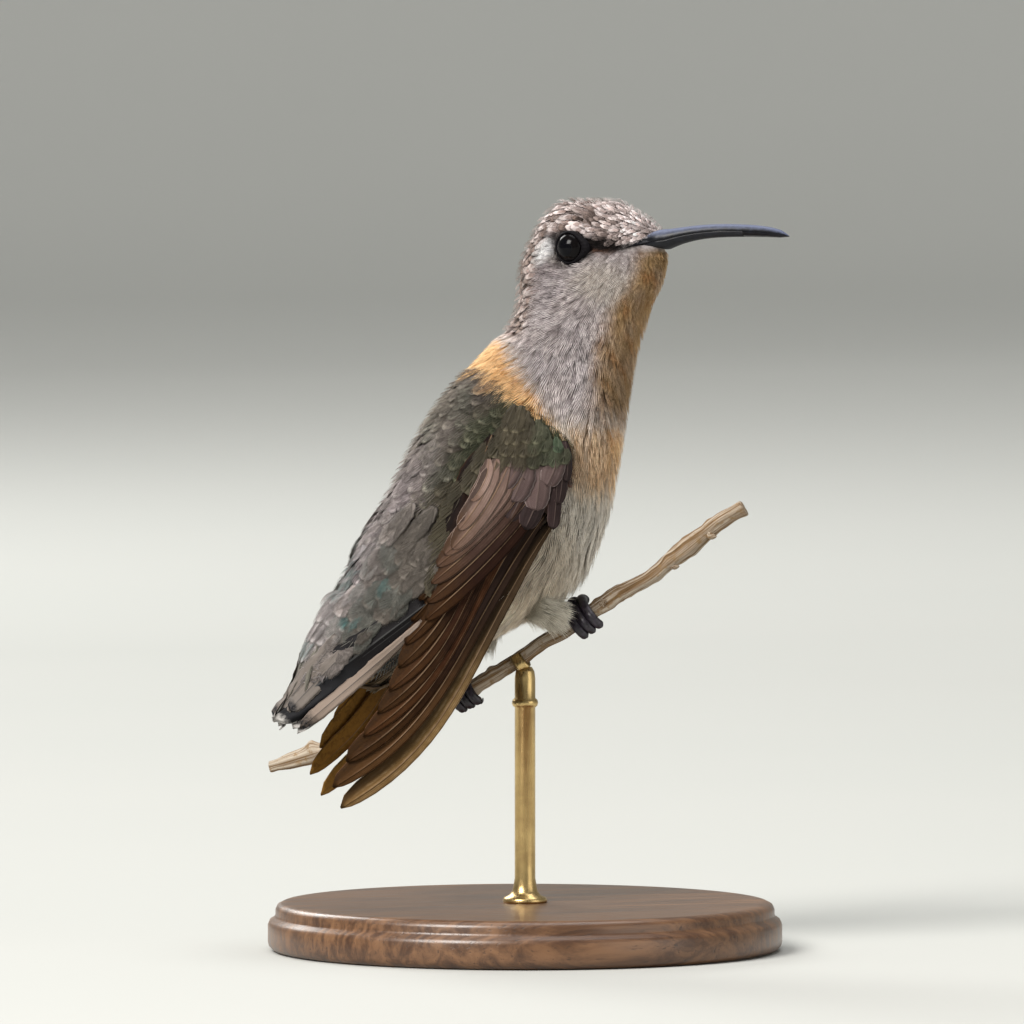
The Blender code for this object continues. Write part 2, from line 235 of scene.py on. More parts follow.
class Graph:
    """Node graph of one material, built from expressions."""

    def __init__(self, name: str) -> None:
        """Start a material with a lone Principled shader."""
        self.material = bpy.data.materials.new(name)
        self.material.use_nodes = True
        self.tree = self.material.node_tree
        self.shader = self.tree.nodes["Principled BSDF"]

    def node(self, kind: str, settings: Optional[dict[str, Any]] = None,
             values: Optional[dict[Any, Any]] = None, out: Any = 0) -> Term:
        """Add a node.

        Args:
            kind: the node's type name.
            settings: its properties, which are set first.
            values: numbers, colours or terms for its input sockets.
            out: output socket to return.

        Returns:
            The chosen output.
        """
        made = self.tree.nodes.new(kind)
        for key, value in (settings or {}).items():
            setattr(made, key, value)
        for key, value in (values or {}).items():
            self.feed(made.inputs[key], value)
        return Term(self, made.outputs[out])

    def feed(self, socket: bpy.types.NodeSocket, value: Any) -> None:
        """Link a term to a socket, or set its number or colour."""
        if isinstance(value, Term):
            self.tree.links.new(value.socket, socket)
        elif isinstance(value, tuple) and len(value) == 3 and socket.type == "RGBA":
            socket.default_value = (*value, 1.0)
        else:
            socket.default_value = value

    def lift(self, value: float) -> Term:
        """A number as a term."""
        return self.node("ShaderNodeMath", {"operation": "ADD"}, {0: value, 1: 0.0})

    def place(self, scale: Sequence[float] = (1, 1, 1)) -> Term:
        """Object coordinates in millimetres, scaled."""
        where = self.node("ShaderNodeTexCoord", out="Object")
        return self.node("ShaderNodeMapping", None,
                         {"Vector": where, "Scale": tuple(s / MM for s in scale)})

    def noise(self, scale: float, detail: float = 3.0, rough: float = 0.6,
              twist: float = 0.0, where: Optional[Term] = None) -> Term:
        """Noise value from 0 to 1, over the object's millimetres where no place is given."""
        return self.node("ShaderNodeTexNoise", None, {
            "Vector": self.place() if where is None else where, "Scale": scale,
            "Detail": detail, "Roughness": rough, "Distortion": twist})

    def attribute(self, name: str, out: str = "Color") -> Term:
        """A named attribute of the mesh."""
        return self.node("ShaderNodeAttribute", {"attribute_name": name}, out=out)

    def vane(self) -> tuple[Term, Term]:
        """Across and along coordinates of the piece's own Vane map."""
        uv = self.node("ShaderNodeUVMap", {"uv_map": "Vane"})
        across = self.node("ShaderNodeSeparateXYZ", None, {0: uv})
        return across, Term(self, across.socket.node.outputs[1])

    def mix(self, amount: Any, first: Any, second: Any, kind: str = "MIX") -> Term:
        """Mix of two colours.

        Args:
            amount: share of the second colour.
            first: colour or term.
            second: colour or term.
            kind: how the second colour meets the first.

        Returns:
            The mixed colour.
        """
        settings = {"data_type": "RGBA", "blend_type": kind, "clamp_factor": True}
        return self.node("ShaderNodeMix", settings, {0: amount, 6: first, 7: second}, 2)

    def bump(self, height: Term, strength: float, distance_mm: float) -> None:
        """Feed a height to the shader's normal."""
        normal = self.node("ShaderNodeBump", None, {
            "Strength": strength, "Distance": distance_mm * MM, "Height": height})
        self.feed(self.shader.inputs["Normal"], normal)

    def finish(self, **values: Any) -> bpy.types.Material:
        """Set the shader's sockets, with _ for spaces, and return the material."""
        for key, value in values.items():
            self.feed(self.shader.inputs[key.replace("_", " ")], value)
        return self.material


# ------------------------------------------------------------------ finishes
@dataclass(frozen=True)
class PlumageFinish:
    """Vaned or hair-like feathers coloured by their Rim and Heart attributes."""

    name: str
    barb_count: float = 26.0
    barb_slant: float = 1.1
    barb_depth: float = 0.35
    shaft: float = 0.12
    heart_size: float = 0.40
    heart_at: float = 0.42
    heart_reach: float = 0.50
    roughness: float = 0.62
    bump_mm: float = 0.05

    def build(self) -> bpy.types.Material:
        """Make the material."""
        g = Graph(self.name)
        across, along = g.vane()
        off = (across - 0.5).abs()
        grain = g.attribute("Grain", "Fac")
        wob = g.noise(2.2, 3.0, 0.6)
        line = ((along * self.barb_count - off * (self.barb_count * self.barb_slant)
                 + wob * 5.0 + grain * 9.0) * (2 * math.pi)).wave()
        heart = ((off / self.heart_size) ** 2
                 + ((along - self.heart_at).abs() / self.heart_reach) ** 2
                 + (wob - 0.5) * 0.9).ramp(1.25, 0.45)
        color = g.mix(heart, g.attribute("Rim"), g.attribute("Heart"))
        color = g.mix(line.ramp(0.25, 0.9) * self.barb_depth, color,
                      g.mix(0.75, color, (0.012, 0.010, 0.010)))
        shaft = off.ramp(0.05, 0.015) * self.shaft
        color = g.mix(shaft, color, (0.60, 0.52, 0.42))
        dust = g.noise(0.55, 4.0, 0.6).ramp(0.3, 0.75, 0.80, 1.14)
        color = g.mix(1.0, color, g.mix(1.0, (1.0, 1.0, 1.0), dust, "MULTIPLY"), "MULTIPLY")
        g.bump(line * 0.6 + off.ramp(0.07, 0.0) * 0.6, 0.55, self.bump_mm)
        return g.finish(Base_Color=color, Roughness=(wob * 0.2 + (self.roughness - 0.1)),
                        Specular_IOR_Level=0.18)


@dataclass(frozen=True)
class SilkFinish:
    """Hair-like feathers, darker at the root and paler at the tip."""

    name: str = "silky_feathers"

    def build(self) -> bpy.types.Material:
        """Make the material."""
        g = Graph(self.name)
        _, along = g.vane()
        wob = g.noise(1.8, 3.0, 0.6)
        color = g.mix((along + (wob - 0.5) * 0.5).ramp(0.05, 0.75), g.attribute("Heart"),
                      g.attribute("Rim"))
        g.bump(wob, 0.3, 0.04)
        return g.finish(Base_Color=color, Roughness=wob.ramp(0.2, 0.8, 0.55, 0.75),
                        Specular_IOR_Level=0.22)


@dataclass(frozen=True)
class QuillFinish:
    """Flight feathers with a pale shaft, slanted barbs and thin pale edges."""

    name: str
    tip_tone: Color = (0.0, 0.0, 0.0)
    tip_start: float = 9.0
    band_tone: Color = (0.0, 0.0, 0.0)
    band_start: float = 9.0
    band_soft: float = 0.05
    band_share: float = 1.0
    barbs: float = 60.0
    edge: float = 0.80
    shaft_tone: Color = (0.42, 0.31, 0.20)
    streaks: float = 0.14
    # share of painted shade on each vane's trailing side, where the next feather overlaps it
    overlap_shade: float = 0.0
    gloss: float = 0.16
    root_dark: float = 0.0

    def build(self) -> bpy.types.Material:
        """Make the material."""
        g = Graph(self.name)
        across, along = g.vane()
        off = (across - 0.5).abs()
        grain = g.attribute("Grain", "Fac")
        wob = g.noise(1.3, 3.0, 0.6)
        line = ((along * self.barbs - off * (self.barbs * 0.30) + wob * 2.4 + grain * 5.0)
                * (2 * math.pi)).wave()
        color = g.mix(line.ramp(0.3, 1.0) * 0.30, g.attribute("Heart"),
                      g.mix(0.6, g.attribute("Heart"), (0.010, 0.007, 0.006)))
        hair = (across * 46.0 + along * 1.5 + wob * 3.0).wave()
        streak = g.noise(0.6, 4.0, 0.7).ramp(0.35, 0.7)
        color = g.mix(streak * hair * self.streaks, color, g.attribute("Rim"))
        color = g.mix(along.ramp(0.66, 0.30) * self.root_dark, color, (0.016, 0.009, 0.007))
        # Painted shade: the trailing side of the vane, under the next feather, is darkened towards
        # black.
        under = across.ramp(0.56, 0.80) * self.overlap_shade
        color = g.mix(under, color, g.mix(0.75, color, (0.006, 0.004, 0.004)))
        if self.band_start < 1:
            color = g.mix((along + (wob - 0.5) * 0.12).ramp(
                self.band_start - self.band_soft, self.band_start + self.band_soft)
                * (0.62 + 0.38 * g.noise(1.9, 4.0, 0.7, 0.8).ramp(0.36, 0.56))
                * self.band_share, color, self.band_tone)
        rim = (off * 2.0 + (wob - 0.5) * 0.10).ramp(self.edge, 0.97)
        if self.root_dark:
            rim = rim * (1 - along.ramp(0.50, 0.30) * self.root_dark)
        color = g.mix(rim * 0.85, color, g.attribute("Rim"))
        if self.tip_start < 1:
            color = g.mix((along + (wob - 0.5) * 0.10 + off * 0.06).ramp(
                self.tip_start - 0.02, self.tip_start + 0.03), color, self.tip_tone)
        color = g.mix(off.ramp(0.035, 0.012) * along.ramp(1.0, 0.75) * 0.8, color, self.shaft_tone)
        g.bump(line * 0.5 + off.ramp(0.05, 0.0), 0.5, 0.05)
        return g.finish(Base_Color=color, Roughness=wob.ramp(0.2, 0.8, 0.56, 0.74),
                        Specular_IOR_Level=self.gloss)


@dataclass(frozen=True)
class SkinFinish:
    """Downy skin under the coat, in the coat's colours darkened as painted shade between the
    feathers.
    """

    name: str = "downy_skin"

    def build(self) -> bpy.types.Material:
        """Make the material."""
        g = Graph(self.name)
        fine = g.noise(3.5, 5.0, 0.65)
        broad = g.noise(0.8, 3.0, 0.55)
        color = g.mix(broad.ramp(0.35, 0.7), g.attribute("Rim"), g.attribute("Heart"))
        color = g.mix(fine.ramp(0.35, 0.75) * 0.55, color, g.mix(0.7, color, (0.02, 0.017, 0.015)))
        g.bump(fine, 0.5, 0.08)
        return g.finish(Base_Color=color, Roughness=fine.ramp(0.2, 0.8, 0.7, 0.9),
                        Specular_IOR_Level=0.08)


@dataclass(frozen=True)
class HornFinish:
    """Smooth dark horn of the bill and claws, with a painted blue-grey sheen along the bill's top."""

    name: str
    color: Color
    pale: Color
    roughness: float = 0.30
    grain_scale: float = 1.6
    # share of the painted blue-grey sheen along the top
    top_sheen: float = 0.0
    gloss: float = 0.3

    def build(self) -> bpy.types.Material:
        """Make the material."""
        g = Graph(self.name)
        across, _ = g.vane()
        cloud = g.noise(self.grain_scale, 4.0, 0.6, 0.4)
        fine = g.noise(9.0, 3.0, 0.6)
        color = g.mix(cloud.ramp(0.35, 0.75), self.color, self.pale)
        # Painted reflection: a blue-grey sheen along the top of the section.
        top = ((across - 0.5).abs() + (cloud - 0.5) * 0.10).ramp(0.27, 0.42)
        color = g.mix(top * self.top_sheen, color, (0.120, 0.140, 0.225))
        g.bump(fine * 0.5 + cloud * 0.5, 0.25, 0.02)
        return g.finish(Base_Color=color, Specular_IOR_Level=self.gloss,
                        Roughness=cloud.ramp(0.3, 0.8, self.roughness - 0.06,
                                             self.roughness + 0.10))


@dataclass(frozen=True)
class EyeFinish:
    """Wet near-black eye with a very dark brown iris."""

    name: str = "eye_gloss"
    pupil: Color = (0.002, 0.002, 0.003)
    iris: Color = (0.004, 0.003, 0.003)

    def build(self) -> bpy.types.Material:
        """Make the material."""
        g = Graph(self.name)
        _, away = g.vane()
        fibre = g.noise(6.0, 3.0, 0.5)
        ring = away.ramp(0.30, 0.36) - away.ramp(0.62, 0.70)
        color = g.mix(ring * fibre.ramp(0.2, 0.8, 0.5, 1.0), self.pupil, self.iris)
        return g.finish(Base_Color=color, Roughness=fibre.ramp(0.2, 0.8, 0.11, 0.15),
                        Specular_IOR_Level=0.10)


@dataclass(frozen=True)
class BarkFinish:
    """Dry grey bark with ochre showing through and long cracks."""

    name: str = "twig_bark"

    def build(self) -> bpy.types.Material:
        """Make the material."""
        g = Graph(self.name)
        across, along = g.vane()
        stretched = g.node("ShaderNodeCombineXYZ", None, {0: across * 9.0, 1: along * 2.2})
        grain = g.noise(2.0, 6.0, 0.65, 0.7, stretched)
        spots = g.noise(1.7, 4.0, 0.6)
        color = g.mix(grain.ramp(0.40, 0.62), (0.150, 0.085, 0.036), (0.44, 0.37, 0.29))
        color = g.mix(spots.ramp(0.52, 0.70) * 0.75, color, (0.235, 0.140, 0.055))
        crack = grain.ramp(0.40, 0.30)
        color = g.mix(crack * 0.85, color, (0.030, 0.018, 0.010))
        g.bump(grain + spots * 0.4, 0.9, 0.16)
        return g.finish(Base_Color=color, Roughness=grain.ramp(0.3, 0.7, 0.95, 0.72),
                        Specular_IOR_Level=0.3)


@dataclass(frozen=True)
class WaxedWoodFinish:
    """Dark waxed hardwood of the stand's base."""

    name: str = "waxed_wood"

    def build(self) -> bpy.types.Material:
        """Make the material."""
        g = Graph(self.name)
        grain = g.noise(0.9, 6.0, 0.62, 0.8, g.place((0.06, 1.0, 0.5)))
        pores = g.noise(1.8, 3.0, 0.5, 0.0, g.place((0.12, 3.0, 2.0)))
        color = g.mix(grain.ramp(0.32, 0.70), (0.060, 0.026, 0.012), (0.185, 0.090, 0.040))
        color = g.mix(pores.ramp(0.58, 0.72) * 0.6, color, (0.022, 0.010, 0.006))
        g.bump(grain * 0.4 - pores.ramp(0.55, 0.75), 0.3, 0.05)
        return g.finish(Base_Color=color, Roughness=grain.ramp(0.2, 0.8, 0.30, 0.44),
                        Coat_Weight=0.25, Coat_Roughness=0.25)


@dataclass(frozen=True)
class BrassFinish:
    """Satin brass rod."""

    name: str = "satin_brass"

    def build(self) -> bpy.types.Material:
        """Make the material."""
        g = Graph(self.name)
        brushed = g.noise(1.2, 4.0, 0.6, 0.0, g.place((6.0, 6.0, 0.25)))
        patina = g.noise(0.35, 3.0, 0.6)
        color = g.mix(patina.ramp(0.35, 0.75), (0.62, 0.45, 0.20), (0.44, 0.30, 0.13))
        g.bump(brushed, 0.2, 0.02)
        return g.finish(Base_Color=color, Metallic=patina.ramp(0.4, 0.9, 1.0, 0.92),
                        Roughness=brushed.ramp(0.2, 0.8, 0.22, 0.40))


@dataclass(frozen=True)
class ScaleSkinFinish:
    """Purplish-black scaly skin of the legs and toes."""

    name: str = "foot_scales"

    def build(self) -> bpy.types.Material:
        """Make the material."""
        g = Graph(self.name)
        _, along = g.vane()
        fold = (along.fract() - 0.5).abs()
        cloud = g.noise(2.6, 4.0, 0.6)
        color = g.mix(cloud.ramp(0.35, 0.75), (0.010, 0.008, 0.011), (0.036, 0.027, 0.042))
        color = g.mix(fold.ramp(0.42, 0.49) * 0.8, color, (0.003, 0.003, 0.004))
        g.bump(fold.ramp(0.5, 0.38) + cloud * 0.3, 0.7, 0.05)
        return g.finish(Base_Color=color, Roughness=cloud.ramp(0.3, 0.8, 0.30, 0.50),
                        Specular_IOR_Level=0.5)


@dataclass(frozen=True)
class FloorFinish:
    """Plain pale floor."""

    name: str = "pale_floor"

    def build(self) -> bpy.types.Material:
        """Make the material."""
        g = Graph(self.name)
        haze = g.noise(0.6, 2.0, where=g.place((0.01, 0.01, 0.01)))
        color = g.mix(haze, (0.44, 0.45, 0.43), (0.47, 0.47, 0.45))
        color = g.mix(g.attribute("Reach", "Fac"), color, (0.80, 0.81, 0.78))
        return g.finish(Base_Color=color, Roughness=0.9, Specular_IOR_Level=0.2)


# ------------------------------------------------------------------ small shapes and pieces
def map_flat(bm: bmesh.types.BMesh, layer: bmesh.types.BMLayerItem) -> None:
    """Map a small shape from above, across from 0 to 1 and along."""
    for f in bm.faces:
        for loop in f.loops:
            loop[layer].uv = (loop.vert.co.x + 0.5, loop.vert.co.y)


def seamless(spots: Sequence[tuple[float, float]]) -> list[tuple[float, float]]:
    """Places of a face's corners round a turned shape, moved on where it crosses the seam."""
    wraps = max(a for a, _ in spots) - min(a for a, _ in spots) > 0.5
    return [(a + 1.0 if wraps and a < 0.5 else a, b) for a, b in spots]


def ordered(bm: bmesh.types.BMesh, places: dict[bmesh.types.BMVert, tuple[float, ...]]
            ) -> tuple[list[bmesh.types.BMVert], list[list[bmesh.types.BMLoop]]]:
    """A bmesh's points and faces in an order that is the same in every run.

    Args:
        bm: the bmesh, whose operators may leave its points and faces in any order.
        places: what its points are sorted by.

    Returns:
        The points, numbered in their new order, and the loops of each face.
    """
    verts = sorted(bm.verts, key=places.get)
    for k, v in enumerate(verts):
        v.index = k
    faces = []
    for f in bm.faces:
        loops = list(f.loops)
        first = min(range(len(loops)), key=lambda k: loops[k].vert.index)
        faces.append(loops[first:] + loops[:first])
    return verts, sorted(faces, key=lambda loops: [loop.vert.index for loop in loops])


@dataclass(frozen=True)
class Shape:
    """A small closed shape in its own measures: across -0.5 to 0.5, along 0 to 1, and up."""

    points: Array
    corners: Array
    starts: Array
    sizes: Array
    vane: Array

    @classmethod
    def of(cls, bm: bmesh.types.BMesh) -> "Shape":
        """Read a bmesh that has a Vane map, and free it."""
        layer = bm.loops.layers.uv["Vane"]
        places = {v: tuple(round(c, 5) for c in v.co) for v in bm.verts}
        verts, faces = ordered(bm, places)
        points = np.array([v.co[:] for v in verts])
        corners = [loop.vert.index for face in faces for loop in face]
        vane = [loop[layer].uv[:] for face in faces for loop in face]
        sizes = np.array([len(face) for face in faces])
        bm.free()
        starts = np.concatenate([[0], np.cumsum(sizes)[:-1]])
        return cls(points, np.array(corners), starts, sizes, np.array(vane))

    @property
    def triangles(self) -> int:
        """Triangles in one copy."""
        return int(np.sum(self.sizes - 2))


def vane_shape(rows: int, outline: Callable[[float], float], ragged: float = 0.0,
               thick: float = 0.05, columns: Sequence[float] = (-0.5, 0.0, 0.5),
               ridge: float = 0.0, camber: float = 0.10) -> Shape:
    """A closed thin vane.

    Args:
        rows: faces along its length.
        outline: share of the full width at a place from root 0 to tip 1.
        ragged: share by which every other edge point is pulled in.
        thick: thickness at the middle, as a share of the width.
        columns: places across, from -0.5 to 0.5.
        ridge: height of the shaft's ridge, as a share of the width.
        camber: how far the edges drop below the middle.

    Returns:
        The shape.
    """
    bm = bmesh.new()
    bmesh.ops.create_grid(bm, x_segments=len(columns) - 1, y_segments=rows, size=0.5)
    layer = bm.loops.layers.uv.new("Vane")
    steps = len(columns) - 1
    for v in bm.verts:
        column = round((v.co.x + 0.5) * steps)
        v.co.x = columns[column]
        v.co.y += 0.5
    map_flat(bm, layer)
    for v in bm.verts:
        across, along = v.co.x, v.co.y
        edge = abs(across) > 0.45
        row = round(along * rows)
        pull = ragged * ((row + (across > 0)) % 2) if edge else 0.0
        v.co.x = across * outline(along) * (1 - pull)
        v.co.z = -camber * (2 * across) ** 2 * outline(along) + ridge * (abs(across) < 0.01)
        v.co.y = along - pull * 0.4 / rows
    inner = [v for v in bm.verts if not v.is_boundary]
    made = bmesh.ops.duplicate(bm, geom=[*bm.faces, *bm.edges, *bm.verts])
    under = [g for g in made["geom"] if isinstance(g, bmesh.types.BMFace)]
    bmesh.ops.reverse_faces(bm, faces=under)
    low = [made["vert_map"][v] for v in inner]
    bmesh.ops.translate(bm, vec=(0, 0, -thick), verts=low)
    bmesh.ops.remove_doubles(bm, verts=bm.verts, dist=1e-5)
    return Shape.of(bm)


def lock_shape(strands: Sequence[tuple[float, ...]], width: float,
               cuts: Sequence[float] = (0.35, 0.70), flat: float = 0.5,
               bend: float = 1.5) -> Shape:
    """A few tapered closed strands side by side.

    Args:
        strands: for each, its root across, its tip across, the place of its tip along, its
            tip's rise and, where it isn't 0, the place of its root along.
        width: width of one strand as a share of the lock's.
        cuts: places along where a strand is cut so that it can bend.
        flat: thickness of a strand as a share of its width.
        bend: below 1, strands spread at once; above 1, only near their tips.

    Returns:
        The shape.
    """
    bm = bmesh.new()
    layer = bm.loops.layers.uv.new("Vane")
    for root, tip, length, rise, *rest in strands:
        start = rest[0] if rest else 0.0
        made = bmesh.ops.create_cone(bm, cap_ends=True, segments=3, radius1=0.5, radius2=0.0,
                                     depth=1.0)
        verts = made["verts"]
        bmesh.ops.translate(bm, vec=(0, 0, 0.5), verts=verts)
        for cut in cuts:
            faces = {f for v in verts if v.is_valid for f in v.link_faces}
            geom = list(faces) + list({e for f in faces for e in f.edges})
            geom += list({v for f in faces for v in f.verts})
            done = bmesh.ops.bisect_plane(bm, geom=geom, plane_co=(0, 0, cut),
                                          plane_no=(0, 0, 1), dist=1e-6)
            verts = [g for g in done["geom"] + done["geom_cut"]
                     if isinstance(g, bmesh.types.BMVert)]
        for v in set(verts):
            along = v.co.z
            swell = (1 - along) ** 0.35 / max(1 - along, 1e-6) if along < 0.999 else 1.0
            across, up = v.co.x * swell, v.co.y * swell
            v.co = (root + (tip - root) * along ** bend + across * width,
                    start + along * (length - start), rise * along ** 2 + up * width * flat)
    bmesh.ops.remove_doubles(bm, verts=bm.verts, dist=1e-6)
    bmesh.ops.recalc_face_normals(bm, faces=bm.faces)
    map_flat(bm, layer)
    return Shape.of(bm)


def fan_shape(pairs: int = 9, thick: float = 0.060) -> Shape:
    """A loose feather: barbs that leave a shaft and curve towards its tip."""
    strands: list[tuple[float, ...]] = [(0.0, 0.0, 1.0, 0.0)]
    for k in range(pairs):
        f = k / (pairs - 1)
        start, end = 0.05 + 0.50 * f, 0.58 + 0.41 * f
        for sign in (1, -1):
            end += 0.012 * sign * math.sin(9.0 * k)
            reach = 0.5 * math.sqrt(max(0.0, 1 - max(0.0, (end - 0.55) / 0.5) ** 2))
            strands.append((0.0, sign * reach, end, -0.03, start))
    return lock_shape(strands, thick, (0.4, 0.75), 0.35, 0.85)


def fringed(batch: "Tufts", shape: Shape, lift: float, rng: np.random.Generator) -> "Tufts":
    """Loose barbs over each vane of a batch."""
    shade = rng.uniform(0.85, 1.12, (len(batch), 1))
    grown = batch.path[:, :1] + (batch.path - batch.path[:, :1]) * 1.06
    return Tufts(shape, grown + batch.out * lift, batch.side, batch.out, batch.width * 1.12,
                 blend(batch.rim, batch.heart, 0.25) * shade,
                 blend(batch.rim, batch.heart, 0.70) * shade, batch.home)


def publish(name: str, mesh: bpy.types.Mesh, material: bpy.types.Material, slot: str,
            nodes: Sequence[str] = ()) -> bpy.types.Object:
    """Make a finished mesh a piece of the model.

    Args:
        name: the piece's name.
        mesh: its mesh, in metres.
        material: its finish.
        slot: not used.
        nodes: CAD nodes that it stands for.

    Returns:
        The piece.
    """
    if not mesh.materials:
        mesh.materials.append(material)
    piece = bpy.data.objects.new(name, mesh)
    bpy.context.collection.objects.link(piece)
    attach(piece, ROOT)
    if nodes:
        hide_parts(*nodes)
    log.info("%s: %d faces", name, len(mesh.polygons))
    return piece


def publish_bmesh(name: str, bm: bmesh.types.BMesh, material: bpy.types.Material, slot: str,
                  nodes: Sequence[str] = ()) -> bpy.types.Object:
    """Make a bmesh in millimetres, with outward faces, a piece of the model."""
    bmesh.ops.scale(bm, vec=(MM, MM, MM), verts=bm.verts)
    bmesh.ops.recalc_face_normals(bm, faces=bm.faces)
    mesh = bpy.data.meshes.new(name)
    bm.to_mesh(mesh)
    bm.free()
    mesh.shade_smooth()
    return publish(name, mesh, material, slot, nodes)


@dataclass
class Tufts:
    """Copies of one shape, each bent along its own path on the body."""

    shape: Shape
    path: Array                 # (count, stops, 3) middle line, mm
    side: Array                 # (count, stops, 3) across
    out: Array                  # (count, stops, 3) away from the body
    width: Array                # (count,) mm
    rim: Array                  # (count, 3) colour of the edge or tip
    heart: Array                # (count, 3) colour of the middle or root
    home: Array                 # (count, 2) place of the root on the skin's unwrap
    narrow: float = 1.0         # width of the -0.5 side as a share of the other

    def __len__(self) -> int:
        """How many copies there are."""
        return len(self.path)

    def points(self) -> Array:
        """Every point of every copy, (count, points, 3), in mm."""
        shape = self.shape.points
        stops = self.path.shape[1]
        place = np.clip(shape[:, 1], 0, 1) * (stops - 1)
        low = np.clip(np.floor(place).astype(int), 0, stops - 2)
        share = (place - low)[None, :, None]
        middle_line = blend(self.path[:, low], self.path[:, low + 1], share)
        side = unit(blend(self.side[:, low], self.side[:, low + 1], share))
        out = unit(blend(self.out[:, low], self.out[:, low + 1], share))
        across = shape[:, 0] * np.where(shape[:, 0] < 0, self.narrow, 1.0)
        wide = self.width[:, None, None]
        return middle_line + side * (across[None, :, None] * wide) \
            + out * (shape[:, 2][None, :, None] * wide)


def unwrap_patch(size: float, vane: Array) -> Array:
    """Corner offsets of one tuft's patch on the unwrap, from its vane map."""
    low = vane.min(axis=0)
    span = np.maximum(vane.max(axis=0) - low, 1e-6)
    return ((vane - low) / span - 0.5) * size


@dataclass
class Coat:
    """Tufts joined into pieces small enough to export whole."""

    material: bpy.types.Material
    slot: str
    patch: float = 0.003
    limit: int = 180000

    def publish(self, name: str, batches: Sequence[Tufts], rng: np.random.Generator,
                nodes: Sequence[str] = ()) -> list[bpy.types.Object]:
        """Join batches of tufts into one or more pieces.

        Args:
            name: name of the pieces, which get a number after it.
            batches: the tufts.
            rng: source of each tuft's grain.
            nodes: CAD nodes that the first piece stands for.

        Returns:
            The pieces.
        """
        made: list[bpy.types.Object] = []
        group: list[Tufts] = []
        room = self.limit
        for batch in batches:
            start = 0
            while start < len(batch):
                count = min(len(batch) - start, room // batch.shape.triangles)
                if count == 0:
                    made.append(self._join(f"{name}_{len(made) + 1}", group, rng, nodes))
                    group, room, nodes = [], self.limit, ()
                    continue
                rows = slice(start, start + count)
                group.append(Tufts(batch.shape, batch.path[rows], batch.side[rows],
                                   batch.out[rows], batch.width[rows], batch.rim[rows],
                                   batch.heart[rows], batch.home[rows], batch.narrow))
                room -= count * batch.shape.triangles
                start += count
        if group:
            made.append(self._join(f"{name}_{len(made) + 1}", group, rng, nodes))
        return made

    def _join(self, name: str, group: Sequence[Tufts], rng: np.random.Generator,
              nodes: Sequence[str]) -> bpy.types.Object:
        """One piece from a group of tufts."""
        points, corners, sizes, vane, bake, rim, heart, grain = ([] for _ in range(8))
        shift = 0
        for batch in group:
            shape, count = batch.shape, len(batch)
            here = batch.points().reshape(-1, 3)
            each = len(shape.points)
            points.append(here)
            offsets = shift + np.arange(count)[:, None] * each
            corners.append((shape.corners[None] + offsets).ravel())
            sizes.append(np.tile(shape.sizes, count))
            vane.append(np.tile(shape.vane, (count, 1)))
            patch = unwrap_patch(self.patch, shape.vane)
            home = np.clip(batch.home, self.patch, 1 - self.patch)
            bake.append((home[:, None] + patch[None]).reshape(-1, 2))
            rim.append(np.repeat(batch.rim, each, axis=0))
            heart.append(np.repeat(batch.heart, each, axis=0))
            grain.append(np.repeat(rng.random(count), each))
            shift += len(here)
        mesh = bpy.data.meshes.new(name)
        all_points, all_corners = np.concatenate(points), np.concatenate(corners)
        all_sizes = np.concatenate(sizes)
        mesh.vertices.add(len(all_points))
        mesh.vertices.foreach_set("co", (all_points * MM).astype(np.float32).ravel())
        mesh.loops.add(len(all_corners))
        mesh.loops.foreach_set("vertex_index", all_corners.astype(np.int32))
        mesh.polygons.add(len(all_sizes))
        starts = np.concatenate([[0], np.cumsum(all_sizes)[:-1]]).astype(np.int32)
        mesh.polygons.foreach_set("loop_start", starts)
        mesh.update(calc_edges=True)
        mesh.validate()
        mesh.shade_smooth()
        for label, values in (("OFBake", bake), ("Vane", vane)):
            uv = mesh.uv_layers.new(name=label)
            uv.data.foreach_set("uv", np.concatenate(values).astype(np.float32).ravel())
        paint_mesh(mesh, np.concatenate(rim), np.concatenate(heart), np.concatenate(grain))
        return publish(name, mesh, self.material, self.slot, nodes)


def paint_mesh(mesh: bpy.types.Mesh, rim: Array, heart: Array, grain: Array) -> None:
    """Store edge and middle colours and a grain number on a mesh's points."""
    for label, values in (("Rim", rim), ("Heart", heart)):
        layer = mesh.attributes.new(label, "FLOAT_COLOR", "POINT")
        full = np.ones((len(values), 4), np.float32)
        full[:, :3] = np.clip(values, 0.0, 1.0)
        layer.data.foreach_set("color", full.ravel())
    layer = mesh.attributes.new("Grain", "FLOAT", "POINT")
    layer.data.foreach_set("value", grain.astype(np.float32))


# ------------------------------------------------------------------ tubes and turned shapes
def mapped_bmesh() -> bmesh.types.BMesh:
    """An empty bmesh with a Vane map."""
    bm = bmesh.new()
    bm.loops.layers.uv.new("Vane")
    return bm


def add_to(whole: bmesh.types.BMesh, part: bmesh.types.BMesh) -> None:
    """Move a bmesh's shape into another, and free it."""
    mesh = bpy.data.meshes.new("part")
    part.to_mesh(mesh)
    part.free()
    whole.from_mesh(mesh)
    bpy.data.meshes.remove(mesh)


